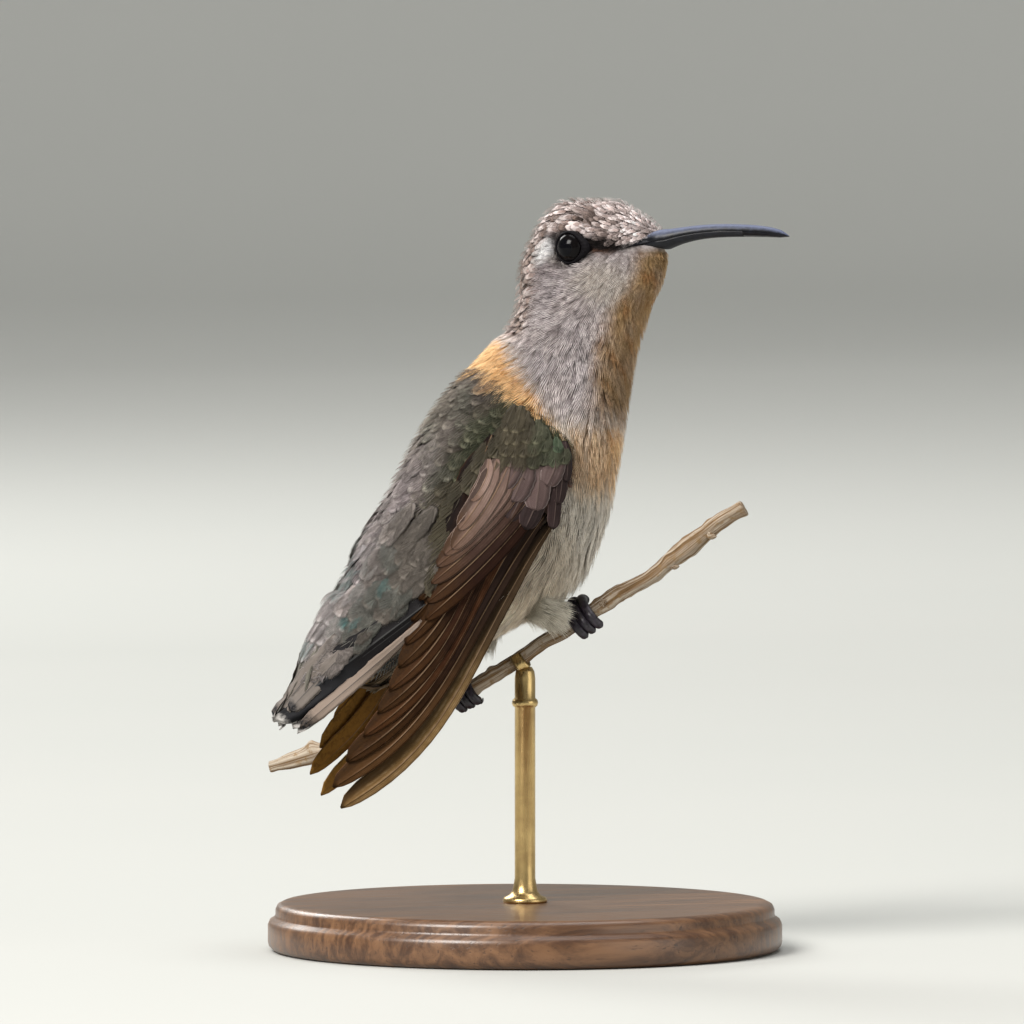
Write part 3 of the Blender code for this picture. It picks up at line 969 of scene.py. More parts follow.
def tube(path: Array, radius: Callable[[int, float], float], sides: int,
         flatten: float = 1.0, up: Optional[Array] = None) -> bmesh.types.BMesh:
    """Closed bar along a path, made by extruding a disc.

    Args:
        path: its middle line, mm.
        radius: radius at a stop and an angle.
        sides: faces round it.
        flatten: height across `up` as a share of the width.
        up: direction that starts the angles; any where it is None.

    Returns:
        The bar, with a Vane map: round it and along it.
    """
    tangent = unit(np.gradient(path, axis=0))
    across = np.empty_like(path)
    guide = np.array(up if up is not None else Vector(tangent[0]).orthogonal()[:], float)
    for k, axis in enumerate(tangent):
        guide = unit(guide - axis * np.dot(guide, axis))
        across[k] = guide
    other = np.cross(tangent, across)
    angles = np.linspace(0, 2 * math.pi, sides, endpoint=False)

    def ring(k: int) -> Array:
        """Ring of points at stop k."""
        r = np.array([radius(k, a) for a in angles])[:, None]
        return path[k] + across[k] * np.cos(angles)[:, None] * r * flatten \
            + other[k] * np.sin(angles)[:, None] * r

    bm = bmesh.new()
    layer = bm.loops.layers.uv.new("Vane")
    first = bmesh.ops.create_circle(bm, cap_ends=True, segments=sides, radius=1.0)
    loop_verts = sorted(first["verts"], key=lambda v: math.atan2(v.co.y, v.co.x) % (2 * math.pi))
    for v, p in zip(loop_verts, ring(0)):
        v.co = p
    rows = [loop_verts]
    cap = loop_verts[0].link_faces[0]
    for k in range(1, len(path)):
        made = bmesh.ops.extrude_face_region(bm, geom=[cap])
        fresh = [g for g in made["geom"] if isinstance(g, bmesh.types.BMVert)]
        cap = next(g for g in made["geom"] if isinstance(g, bmesh.types.BMFace))
        by_edge = {e.other_vert(v): v for v in fresh for e in v.link_edges
                   if e.other_vert(v) in set(rows[-1])}
        rows.append([by_edge[v] for v in rows[-1]])
        for v, p in zip(rows[-1], ring(k)):
            v.co = p
    caps = [f for f in bm.faces if len(f.verts) == sides and sides > 4]
    place = {v: (j / sides, k / (len(path) - 1)) for k, row in enumerate(rows)
             for j, v in enumerate(row)}
    for f in bm.faces:
        spots = [place[loop.vert] for loop in f.loops]
        for loop, uv in zip(f.loops, spots if f in caps else seamless(spots)):
            loop[layer].uv = uv
    bmesh.ops.triangulate(bm, faces=caps)
    return bm


def smooth_path(points: Array, count: int) -> Array:
    """Even points on a smooth curve through the given ones."""
    points = np.asarray(points, float)
    last = len(points) - 1
    t = np.linspace(0, last, count)
    i = np.clip(np.floor(t).astype(int), 0, last - 1)
    f = (t - i)[:, None]
    a, b, c, d = (points[np.clip(i + k, 0, last)] for k in (-1, 0, 1, 2))
    return 0.5 * (2 * b + (c - a) * f + (2 * a - 5 * b + 4 * c - d) * f ** 2
                  + (3 * b - a - 3 * c + d) * f ** 3)


def spun(profile: Sequence[tuple[float, float]], steps: int,
         middle_xy: tuple[float, float] = (0.0, 0.0)) -> bmesh.types.BMesh:
    """Turned solid whose profile runs from the axis to the axis.

    Args:
        profile: radius and height of each point, mm.
        steps: faces round it.
        middle_xy: plan place of the axis.

    Returns:
        The closed solid.
    """
    bm = bmesh.new()
    verts = [bm.verts.new((r, 0, z)) for r, z in profile]
    edges = [bm.edges.new(pair) for pair in zip(verts, verts[1:])]
    bmesh.ops.spin(bm, geom=verts + edges, cent=(0, 0, 0), axis=(0, 0, 1), angle=2 * math.pi,
                   steps=steps, use_merge=True)
    bmesh.ops.remove_doubles(bm, verts=bm.verts, dist=1e-5)
    bmesh.ops.translate(bm, vec=(*middle_xy, 0), verts=bm.verts)
    bmesh.ops.recalc_face_normals(bm, faces=bm.faces)
    return bm


# ------------------------------------------------------------------ the bird's own axes
@dataclass
class Landmarks:
    """Places on the bird worked out from the CAD nodes."""

    eye_forward: float = 1.7
    side_turn: float = math.radians(20.0)   # turn of the plate plane, on which markings lie
    head_low: float = 60.0                  # the trunk's fold gives way to the head's from here
    head_high: float = 66.0
    eye: dict[Side, Array] = field(init=False)
    eye_radius: float = field(init=False)
    bill_base: Array = field(init=False)
    bill_tip: Array = field(init=False)

    def __post_init__(self) -> None:
        """Read the boxes."""
        self.eye = {side: middle(f"eye_{side.value}") for side in Side}
        low, high = box_mm("eye_right")
        self.eye_radius = float((high - low)[2] / 2)
        self.out = unit(self.eye[Side.RIGHT] - self.eye[Side.LEFT])
        self.forward = np.array([-self.out[1], self.out[0], 0.0])
        between = (self.eye[Side.RIGHT] + self.eye[Side.LEFT]) / 2
        self.head = between - self.forward * self.eye_forward
        self.bill = Ground(trace(("bill_upper", "bill_lower")))
        corners = points_mm("bill_upper")
        reach = (corners - self.head) @ self.forward
        self.bill_tip = corners[np.argmax(reach)]
        self.bill_start = float(reach.min())
        base = corners[reach < reach.min() + 1.5]
        self.bill_base = self.head + self.forward * (self.bill_start - 0.6)
        self.bill_base[2] = base[:, 2].mean()
        self.fore_axis = np.array([math.cos(self.side_turn), -math.sin(self.side_turn), 0.0])
        self.deep_axis = np.array([math.sin(self.side_turn), math.cos(self.side_turn), 0.0])

    def in_head(self, p: Array) -> Array:
        """Forward, outward to the right, and height of points in the head's own axes."""
        rel = p - self.head
        return np.stack([rel @ self.forward, rel @ self.out, p[..., 2]], axis=-1)

    def plate(self, p: Array) -> tuple[Array, Array]:
        """Place of points on the plate plane, after folding both sides onto the right one.

        Args:
            p: points, mm.

        Returns:
            Fore distance and height.
        """
        local = self.in_head(p)
        folded_head = self.head + self.forward * local[..., :1] + self.out * np.abs(local[..., 1:2])
        folded_trunk = p * np.array([1.0, 0.0, 1.0]) - np.abs(p) * np.array([0.0, 1.0, 0.0])
        share = step(self.head_low, self.head_high, p[..., 2])[..., None]
        folded = blend(folded_trunk, folded_head, share)
        return folded @ self.fore_axis, p[..., 2]


class Ground:
    """Surface that feathers follow."""

    def __init__(self, tree: BVHTree) -> None:
        """Hold the search tree."""
        self.tree = tree

    def nearest(self, points: Array) -> tuple[Array, Array]:
        """Nearest surface points and their normals."""
        spots, normals = np.empty_like(points), np.empty_like(points)
        for k, p in enumerate(points):
            spot, normal, _, _ = self.tree.find_nearest(p)
            spots[k], normals[k] = spot, normal
        return spots, normals

    def distance(self, points: Array) -> Array:
        """Distance of points from the surface."""
        return np.array([self.tree.find_nearest(p)[3] for p in points])

    def hit(self, start: Array, way: Array) -> Array:
        """Where a ray first meets the surface, and not-a-number where it misses."""
        spot = self.tree.ray_cast(start, way)[0]
        return np.full(3, np.nan) if spot is None else np.array(spot)

    def cast(self, starts: Array, way: Array) -> Array:
        """First hits of parallel rays."""
        return np.array([self.hit(p, way) for p in starts])

    def march(self, roots: Array, lie: Callable[[Array, Array], Array], length: Array,
              stops: int, cling: float = 1.0) -> tuple[Array, Array]:
        """Paths that start at roots and follow the lie over the surface.

        Args:
            roots: starting points.
            lie: gives the direction at points with normals.
            length: length of each path.
            stops: points on a path.
            cling: share by which a path is pulled back to the surface.

        Returns:
            The paths and the surface normals along them.
        """
        here, normal = self.nearest(roots)
        paths, normals = [here], [normal]
        pace = (length / (stops - 1))[:, None]
        for _ in range(stops - 1):
            way = lie(here, normal)
            way = unit(way - normal * dot(way, normal))
            ahead = here + way * pace
            spot, fresh = self.nearest(ahead)
            here = blend(ahead, spot, cling)
            normal = unit(blend(normal, fresh, 0.6))
            paths.append(here)
            normals.append(normal)
        return np.stack(paths, axis=1), np.stack(normals, axis=1)


# ------------------------------------------------------------------ body form and skin
@dataclass
class BodyForm:
    """The coat's outer form, cast from the flesh nodes, and the skin inside it."""

    marks: Landmarks
    rings: int = 184
    sides: int = 144
    lean: float = math.radians(20.0)
    face_depth: float = 0.45
    crown_depth: float = 0.75
    body_depth: float = 1.15
    socket_clear: float = 0.12
    lid_room: float = 0.45
    far: float = 45.0               # rays start beyond the wings
    fill_passes: int = 260
    smooth_passes: int = 3

    def spine(self) -> tuple[Array, Array]:
        """Middle line from the crown to the tail root, and each ring plane's lean."""
        head, rump = points_mm("head"), points_mm("rump")
        top = head[np.argmax(head[:, 2])]
        tailward = np.array([-math.sin(self.lean * 1.8), 0, -math.cos(self.lean * 1.8)])
        reach = rump @ tailward
        end = rump[reach > reach.max() - 1.0].mean(axis=0)
        skull = self.marks.head - UPWARD * 0.5
        nape = blend(skull, middle("neck"), 0.45)
        knots = np.array([top, blend(top, skull, 0.5), skull, nape, middle("neck"),
                          middle("breast"), middle("belly"), middle("rump"), end])
        line = smooth_path(knots, 400)
        length = np.concatenate([[0], np.cumsum(np.linalg.norm(np.diff(line, axis=0), axis=1))])
        even = np.linspace(0, length[-1], self.rings + 1)
        line = np.stack([np.interp(even, length, line[:, k]) for k in range(3)], axis=1)
        low, high = box_mm("neck")
        lean = self.lean * step(high[2] - 1.0, low[2] - 1.0, line[:, 2])
        return line, lean

    def cast_radii(self, line: Array, lean: Array) -> Array:
        """Distance from the middle line out to the flesh nodes, by ring and side."""
        ground = Ground(trace(FLESH + ("wing_right", "wing_left")))
        angles = np.linspace(0, 2 * math.pi, self.sides, endpoint=False)
        radii = np.full((self.rings + 1, self.sides), np.nan)
        for i in range(1, self.rings):
            ahead = np.array([math.cos(lean[i]), 0, -math.sin(lean[i])])
            for j, angle in enumerate(angles):
                way = ahead * math.cos(angle) + np.array([0, 1.0, 0]) * math.sin(angle)
                spot = ground.hit(line[i] + way * self.far, -way)
                near = min(np.linalg.norm(spot - eye) for eye in self.marks.eye.values())
                reach = np.dot(spot - line[i], way)
                if near > self.marks.eye_radius + self.lid_room and reach > 0:
                    radii[i, j] = reach
        return radii

    def mend(self, radii: Array) -> Array:
        """Radii with misses filled and steps smoothed."""
        inner = radii[1:-1]
        with np.errstate(all="ignore"):
            stack = np.stack([np.roll(inner, k, axis=0) for k in (-2, -1, 0, 1, 2)])
            inside = np.nanmedian(stack, axis=0)
        bad = np.isnan(inner) | (inner < inside - 0.5)
        bad[:2] |= np.isnan(inner[:2])
        work = np.where(bad, np.nan_to_num(inside, nan=np.nanmean(inner)), inner)
        for _ in range(self.fill_passes):
            work = np.where(bad, self.around(work), work)
        for _ in range(self.smooth_passes):
            work = blend(work, self.around(work), 0.7)
        full = radii.copy()
        full[1:-1] = work
        return full

    @staticmethod
    def around(radii: Array) -> Array:
        """Mean of each radius's four neighbours."""
        padded = np.pad(radii, ((1, 1), (0, 0)), mode="edge")
        return (padded[:-2] + padded[2:] + np.roll(radii, 1, 1) + np.roll(radii, -1, 1)) / 4

    def cell(self, co: Vector) -> tuple[int, int]:
        """Ring and side of a point on the unit sphere."""
        i = round(math.acos(max(-1.0, min(1.0, co.z))) / math.pi * self.rings)
        j = round(math.atan2(co.y, co.x) / (2 * math.pi) * self.sides) % self.sides
        return i, 0 if i in (0, self.rings) else j

    def sphere(self) -> bmesh.types.BMesh:
        """Unit sphere with its points ring by ring, so that feathers fall alike in every run."""
        made = bmesh.new()
        bmesh.ops.create_uvsphere(made, u_segments=self.sides, v_segments=self.rings, radius=1.0)
        verts, faces = ordered(made, {v: self.cell(v.co) for v in made.verts})
        mesh = bpy.data.meshes.new("sphere")
        mesh.from_pydata([v.co[:] for v in verts], [],
                         [[loop.vert.index for loop in face] for face in faces])
        made.free()
        bm = bmesh.new()
        bm.from_mesh(mesh)
        bpy.data.meshes.remove(mesh)
        bm.verts.ensure_lookup_table()
        return bm

    def build(self) -> None:
        """Work out the outer form and the skin, with the unwrap of each point."""
        line, lean = self.spine()
        radii = self.mend(self.cast_radii(line, lean))
        bm = self.sphere()
        place = np.empty((len(bm.verts), 2))
        for k, v in enumerate(bm.verts):
            i, j = self.cell(v.co)
            angle = 2 * math.pi * j / self.sides
            ahead = Vector((math.cos(lean[i]), 0, -math.sin(lean[i])))
            way = ahead * math.cos(angle) + Vector((0, 1, 0)) * math.sin(angle)
            r = 0.0 if i in (0, self.rings) else radii[i, j]
            place[k] = (j / self.sides, i / self.rings)
            v.co = Vector(line[i]) + way * r
        self.outer = Ground(BVHTree.FromBMesh(bm))
        bm.normal_update()
        points = np.array([v.co[:] for v in bm.verts])
        normals = np.array([v.normal[:] for v in bm.verts])
        points = points - normals * self.depth(points)[:, None]
        for v, p in zip(bm.verts, self.socketed(points)):
            v.co = p
        bmesh.ops.smooth_vert(bm, verts=bm.verts, factor=0.5, use_axis_x=True,
                              use_axis_y=True, use_axis_z=True)
        bm.normal_update()
        self.points = np.array([v.co[:] for v in bm.verts])
        self.normals = np.array([v.normal[:] for v in bm.verts])
        self.place = place
        self.skin = Ground(BVHTree.FromBMesh(bm))
        self.faces = [[v.index for v in f.verts] for f in bm.faces]
        self.lookup = point_tree(self.points)
        self.bm = bm

    def depth(self, p: Array) -> Array:
        """Depth of the coat over points of its outer form."""
        local = self.marks.in_head(p)
        face = step(2.0, 8.5, local[:, 0]) * step(66.0, 70.0, p[:, 2])
        crown = step(67.0, 73.0, p[:, 2])
        return blend(blend(self.body_depth, self.crown_depth, crown), self.face_depth, face)

    def socketed(self, points: Array) -> Array:
        """Points with those round each eye drawn in behind the eyeball."""
        radius = self.marks.eye_radius + self.socket_clear
        for side in Side:
            eye, out = self.marks.eye[side], self.marks.out * side.sign
            rel = points - eye
            height = rel @ out
            flat = rel - height[:, None] * out
            ring = np.linalg.norm(flat, axis=1)
            cup = -np.sqrt(np.maximum(radius ** 2 - ring ** 2, 0.0))
            inside = (ring < radius) & (height > -3.0)
            share = step(radius, radius - 0.35, ring) * inside
            target = np.where(inside, np.minimum(height, blend(height, cup, share)), height)
            points = points + out * (target - height)[:, None]
        return points

    def home(self, roots: Array) -> Array:
        """Place of roots on the skin's unwrap."""
        return np.array([self.place[self.lookup.find(p)[1]] for p in roots])

    def scatter(self, rng: np.random.Generator, tries: int,
                spacing: Callable[[Array, Array], Array]) -> tuple[Array, Array]:
        """Evenly jittered roots over the skin.

        Args:
            rng: source of the draws.
            tries: how many places are tried.
            spacing: least distance at points with normals; zero or less keeps a place bare.

        Returns:
            The roots and their normals.
        """
        quads = np.array([(f + [f[-1]])[:4] for f in self.faces])
        a, b, c, d = (self.points[quads[:, k]] for k in range(4))
        area = np.linalg.norm(np.cross(b - a, c - a), axis=1) \
            + np.linalg.norm(np.cross(c - a, d - a), axis=1)
        pick = rng.choice(len(quads), tries, p=area / area.sum())
        s, t = rng.random((tries, 1)), rng.random((tries, 1))
        spots = blend(blend(a[pick], b[pick], s), blend(d[pick], c[pick], s), t)
        na, nc = self.normals[quads[pick, 0]], self.normals[quads[pick, 2]]
        normals = unit(na + nc)
        gap = spacing(spots, normals)
        keep = gap > 0
        spots, normals, gap = spots[keep], normals[keep], gap[keep]
        tree = point_tree(spots)
        dead = np.zeros(len(spots), bool)
        chosen = []
        for k, p in enumerate(spots):
            if dead[k]:
                continue
            chosen.append(k)
            for _, other, _ in tree.find_range(p, gap[k]):
                dead[other] = True
        return spots[chosen], normals[chosen]


# ------------------------------------------------------------------ markings
def tone(red: float, green: float, blue: float) -> Array:
    """Linear colour from a display colour of 0 to 255."""
    c = np.array([red, green, blue]) / 255.0
    return np.where(c <= 0.04045, c / 12.92, ((c + 0.055) / 1.055) ** 2.4)


def spot(u: Array, z: Array, at: tuple[float, float], size: tuple[float, float],
         soft: float = 0.35) -> Array:
    """1 inside an ellipse on the plate plane, fading to 0 at its edge."""
    reach = np.sqrt(((u - at[0]) / size[0]) ** 2 + ((z - at[1]) / size[1]) ** 2)
    return step(1 + soft, 1 - soft, reach)[:, None]


def above(u: Array, z: Array, line: Sequence[tuple[float, float]], soft: float) -> Array:
    """1 above a line on the plate plane and 0 below it."""
    return step(-soft, soft, z - level(line, u))[:, None]


def cloud(p: Array, size: float, seed: int) -> Array:
    """Smooth patches from 0 to 1, about `size` mm across, as a column."""
    rng = np.random.default_rng(seed)
    total = np.zeros(len(p))
    for _ in range(7):
        way = unit(rng.normal(size=3)) * rng.uniform(0.7, 1.5)
        total += np.sin(p @ way * (math.pi / size) + rng.uniform(0, 2 * math.pi))
    return step(-2.6, 2.6, total)[:, None]


@dataclass
class Markings:
    """Colours of the plumage over the body, the same for skin and coat."""

    marks: Landmarks
    wing: Ground
    crown_line: tuple = ((-1.3, 67.6), (-0.6, 69.6), (0.57, 72.6), (1.8, 73.7), (3.1, 75.3),
                         (4.5, 75.8), (6.0, 75.45), (8.0, 74.95), (10.0, 74.55), (12.5, 75.0),
                         (15.0, 76.0))
    gape_top: tuple = ((9.4, 73.95), (10.4, 74.1), (12.5, 74.9), (15.2, 75.95))
    gape_bottom: tuple = ((9.4, 73.85), (10.4, 73.6), (15.2, 73.3))
    back_line: tuple = ((-6.0, 66.0), (-4.9, 62.2), (-4.4, 61.2), (-2.6, 59.9), (-0.5, 58.0),
                        (2.6, 55.7), (3.9, 54.4), (6.0, 50.0))
    cream_line: tuple = ((-4.0, 68.0), (-1.7, 64.6), (0.2, 61.1), (1.7, 58.4), (2.9, 56.4),
                         (5.0, 53.6))
    throat_line: tuple = ((56.0, 7.0), (60.0, 7.2), (64.0, 7.7), (68.0, 9.0), (72.0, 11.6))
    wing_line: tuple = ((39.0, -9.2), (42.5, -8.9), (47.25, -7.35), (52.5, -4.7), (55.7, -2.4),
                        (58.5, 0.5))

    def under_wing(self, p: Array) -> Array:
        """Distance from points on the coat's outer form to the wings."""
        return self.wing.distance(p)

    def paint(self, p: Array, n: Array, wing_gap: Array) -> tuple[Array, Array]:
        """Colours of feathers rooted at points.

        Args:
            p: points, mm.
            n: their normals.
            wing_gap: their distance to the wings.

        Returns:
            Edge or tip colours, and middle or root colours.
        """
        u, z = self.marks.plate(p)
        rim, heart = self._underparts(p, u, z)
        self._throat(p, u, z, rim, heart)
        self._face(p, u, z, rim, heart)
        self._neck_side(u, z, rim, heart)
        self._crown(p, n, u, z, rim, heart)
        self._back(p, n, u, z, rim, heart)
        self._wing_zone(u, z, wing_gap, rim, heart)
        return rim, heart

    @staticmethod
    def _lay(rim: Array, heart: Array, share: Array, rim_tone: Array, heart_tone: Array) -> None:
        """Lay two colours over the ones already there."""
        rim[:] = blend(rim, rim_tone, share)
        heart[:] = blend(heart, heart_tone, share)

    def _underparts(self, p: Array, u: Array, z: Array) -> tuple[Array, Array]:
        """Belly, breast and leg puffs, with painted shade at the vent."""
        count = len(p)
        rim = np.tile(tone(238, 231, 220), (count, 1))
        heart = np.tile(tone(200, 190, 176), (count, 1))
        low = step(43.0, 37.0, z)[:, None]
        self._lay(rim, heart, low, tone(246, 234, 214), tone(214, 199, 174))
        band = spot(u, z, (8.0, 53.2), (4.6, 3.4), 0.45)
        streak = cloud(p * np.array([1.0, 1.0, 0.35]), 0.9, 5)
        self._lay(rim, heart, band * (0.75 + 0.25 * streak), tone(244, 206, 160), tone(206, 160, 112))
        grey = cloud(p * np.array([1.0, 1.0, 0.3]), 1.1, 8)
        self._lay(rim, heart, step(0.62, 0.85, grey) * 0.35, tone(188, 183, 178), tone(146, 141, 136))
        flank = spot(u, z, (2.0, 42.0), (3.5, 5.0), 0.5) * 0.5
        self._lay(rim, heart, flank, tone(222, 206, 182), tone(170, 150, 126))
        # Painted shade: the vent, under the tail and wings, is darkened to a dull brown.
        painted_vent_shade = step(-8.0, -14.0, u)[:, None]
        self._lay(rim, heart, painted_vent_shade, tone(150, 128, 100), tone(84, 66, 48))
        return rim, heart

    def _throat(self, p: Array, u: Array, z: Array, rim: Array, heart: Array) -> None:
        """Silver-grey cheeks and neck with a buff throat."""
        high = step(55.5, 58.5, z)[:, None]
        self._lay(rim, heart, high, tone(232, 222, 221), tone(150, 139, 139))
        cool = cloud(p, 2.6, 11)
        self._lay(rim, heart, high * cool * 0.4, tone(196, 190, 194), tone(140, 132, 136))
        dusk = step(0.70, 0.90, cloud(p * np.array([1.0, 1.0, 0.45]), 0.55, 14))
        self._lay(rim, heart, high * dusk * 0.35, tone(150, 138, 132), tone(92, 80, 74))
        edge = level(self.throat_line, z)
        buff = step(-1.1, 1.3, u - edge) * step(56.0, 59.5, z) * step(74.2, 72.8, z)
        buff = buff[:, None] * (0.8 + 0.2 * cloud(p, 1.6, 12))
        # Painted shade: the lower throat's front edge, turned away from the key light, gets a darker
        # buff over the throat's own buff.
        front = (0.55 * step(64.0, 62.0, z) * step(-0.5, 1.5, u - edge))[:, None]
        self._lay(rim, heart, buff, tone(190, 158, 116), tone(156, 124, 84))
        self._lay(rim, heart, front * buff, tone(156, 130, 100), tone(112, 88, 62))
        rust = step(0.84, 0.96, cloud(p * np.array([1.0, 1.0, 0.6]), 0.7, 13)) * buff
        self._lay(rim, heart, rust * 0.5, tone(178, 124, 72), tone(140, 90, 48))
        light = spot(u, z, (8.4, 70.6), (2.6, 1.9), 0.5)
        self._lay(rim, heart, light * 0.7, tone(216, 208, 198), tone(170, 160, 150))

    def _face(self, p: Array, u: Array, z: Array, rim: Array, heart: Array) -> None:
        """Painted shadow under the bill on the chin, lores, the white spot behind the eye and the
        dusky ear.
        """
        # Painted shadow: the chin just under the bill is darkened to a brownish buff.
        bill_shadow = spot(u, z, (14.2, 72.7), (1.7, 0.9), 0.4)
        self._lay(rim, heart, bill_shadow * 0.7, tone(172, 142, 96), tone(120, 92, 54))
        ear = spot(u, z, (2.9, 71.7), (2.5, 0.85), 0.4)
        dots = cloud(p, 0.5, 21)
        self._lay(rim, heart, ear * (0.30 + 0.5 * dots), tone(140, 128, 130), tone(78, 68, 70))
        mauve = spot(u, z, (2.4, 69.6), (2.4, 1.5), 0.5)
        self._lay(rim, heart, mauve * 0.45, tone(168, 158, 160), tone(112, 104, 108))
        lores = np.maximum(spot(u, z, (7.9, 74.25), (3.2, 0.80), 0.3),
                           spot(u, z, (5.9, 74.05), (1.5, 1.15), 0.3))
        self._lay(rim, heart, lores, tone(30, 22, 20), tone(10, 7, 7))
        rust = spot(u, z, (8.4, 73.55), (1.2, 0.25), 0.5)
        self._lay(rim, heart, rust * 0.4, tone(140, 100, 78), tone(80, 50, 36))
        lash = spot(u, z, (4.5, 73.9), (1.95, 2.05), 0.2)
        self._lay(rim, heart, lash * 0.9, tone(44, 36, 34), tone(12, 9, 9))
        dots = step(0.66, 0.80, cloud(p, 0.30, 23)) * step(74.4, 73.6, z)[:, None]
        self._lay(rim, heart, lash * dots, tone(236, 228, 222), tone(170, 160, 154))
        white = np.maximum(spot(u, z, (2.10, 74.0), (0.85, 1.7), 0.3),
                           spot(u, z, (1.3, 72.5), (1.0, 0.55), 0.5) * 0.8)
        self._lay(rim, heart, white, tone(255, 254, 255), tone(244, 242, 244))

    def _neck_side(self, u: Array, z: Array, rim: Array, heart: Array) -> None:
        """Cream and apricot fans on the sides of the neck."""
        inside = 1 - above(u, z, self.cream_line, 0.8)
        wide = 1 - above(u, z - 1.8, self.cream_line, 1.5)
        low = step(50.5, 54.0, z)[:, None] * step(6.5, 3.5, u)[:, None]
        self._lay(rim, heart, wide * low * 0.6, tone(232, 218, 202), tone(190, 172, 154))
        self._lay(rim, heart, inside * low, tone(246, 208, 158), tone(214, 162, 104))

    @staticmethod
    def nape(p: Array, n: Array) -> Array:
        """Share of the nape's strip of crown-like feathers."""
        return step(4.2, 3.0, np.abs(p[:, 1] - 1.0)) * step(-0.25, -0.55, n[:, 0]) \
            * step(64.2, 65.4, p[:, 2])

    def _crown(self, p: Array, n: Array, u: Array, z: Array, rim: Array, heart: Array) -> None:
        """Pale-edged brown scales of the crown, forehead and nape."""
        share = np.maximum(above(u, z, self.crown_line, 0.18), self.nape(p, n)[:, None])
        fore = step(5.0, 12.0, u)[:, None]
        blotch = step(0.50, 0.72, cloud(p * np.array([0.7, 1.0, 1.0]), 0.62, 31))
        warm = cloud(p, 2.2, 32)
        pale = blend(tone(232, 218, 216), tone(252, 240, 240), fore)
        dark = blend(tone(160, 138, 132), tone(206, 186, 182), fore)
        pale = blend(pale, tone(214, 192, 182), (1 - warm) * 0.30)
        smudge = blotch * (0.95 - 0.40 * fore)
        pale = blend(pale, tone(118, 96, 86), smudge)
        dark = blend(dark, tone(54, 40, 34), smudge)
        hind = step(3.0, 0.5, u)[:, None]
        pale = blend(pale, tone(176, 158, 148), hind * 0.5)
        self._lay(rim, heart, share, pale, dark)

    def _back(self, p: Array, n: Array, u: Array, z: Array, rim: Array, heart: Array) -> None:
        """Grey-green back, mauve towards the middle line, and the rump."""
        hind = step(2.2, 0.9, np.abs(p[:, 1]))[:, None] * step(-0.3, -0.7, n[:, 0])[:, None]
        hind = hind * step(60.0, 58.5, z)[:, None]
        upper = step(-0.15, 0.15, n @ BACKWARD)[:, None]
        share = np.maximum((1 - above(u, z, self.back_line, 0.35)) * upper, hind)
        down = (p @ TAILWARD)[:, None]
        green, mauve = cloud(p, 2.6, 41), cloud(p, 3.4, 42)
        pale = np.tile(tone(168, 160, 140), (len(p), 1))
        dark = np.tile(tone(84, 78, 62), (len(p), 1))
        ahead = u + 7.0 - 0.41 * (z - 58.0)
        olive = 0.9 * (step(43.0, 50.0, z) * step(0.3, 3.0, ahead))[:, None]
        pale, dark = blend(pale, tone(118, 108, 88), olive), blend(dark, tone(52, 46, 36), olive)
        pale = blend(pale, tone(122, 130, 104), step(0.62, 0.88, green) * 0.5)
        dark = blend(dark, tone(58, 70, 50), step(0.55, 0.85, green) * 0.6)
        middle_line = step(6.5, 2.5, np.abs(p[:, 1]))[:, None]
        low = 0.35 + 0.65 * step(57.0, 48.0, z)[:, None]
        grey = np.clip(middle_line * 0.75 + step(0.6, 0.9, mauve) * 0.3, 0, 1) * low
        pale = blend(pale, tone(208, 196, 197), grey)
        dark = blend(dark, tone(146, 134, 137), grey * 0.85)
        rump = step(-30.0, -20.0, down)
        pale = blend(pale, tone(176, 171, 169), rump * 0.5)
        dark = blend(dark, tone(124, 120, 119), rump * 0.6)
        teal = step(0.66, 0.86, cloud(p, 1.5, 43)) * rump
        pale = blend(pale, tone(118, 150, 146), teal * 0.6)
        dark = blend(dark, tone(62, 98, 96), teal * 0.8)
        self._lay(rim, heart, share, pale, dark)

    def _wing_zone(self, u: Array, z: Array, gap: Array, rim: Array, heart: Array) -> None:
        """Green lesser coverts and the dark marginal ones, where the wing is."""
        edge = level(self.wing_line, z)
        share = (step(0.8, 0.3, gap) * step(-0.3, 0.3, u - edge))[:, None]
        share = share * (1 - above(u, z, self.back_line, 0.3))
        self._lay(rim, heart, share, tone(120, 90, 80), tone(60, 40, 36))
        green = share * step(52.2, 53.4, z)[:, None] * step(4.8, 3.8, u)[:, None]
        self._lay(rim, heart, green, tone(112, 116, 88), tone(50, 58, 42))


@dataclass
class Lie:
    """Direction in which feathers lie."""

    marks: Landmarks
    downward: Array = field(default_factory=lambda: np.array([-0.22, 0.0, -0.975]))
    swirl: float = 0.55

    def __call__(self, p: Array, n: Array) -> Array:
        """Direction at points with normals."""
        face = unit(p - self.marks.bill_base)
        front = (step(-0.3, 0.5, n[:, 0]) * step(42.0, 54.0, p[:, 2]))[:, None]
        trunk = unit(blend(TAILWARD, self.downward, front))
        share = step(58.0, 70.0, p[:, 2])[:, None]
        way = unit(blend(trunk, face, share))
        swirl = (cloud(p, 3.0, 77) - 0.5) * self.swirl
        way = way - n * dot(way, n)
        return unit(way + np.cross(n, way) * swirl)


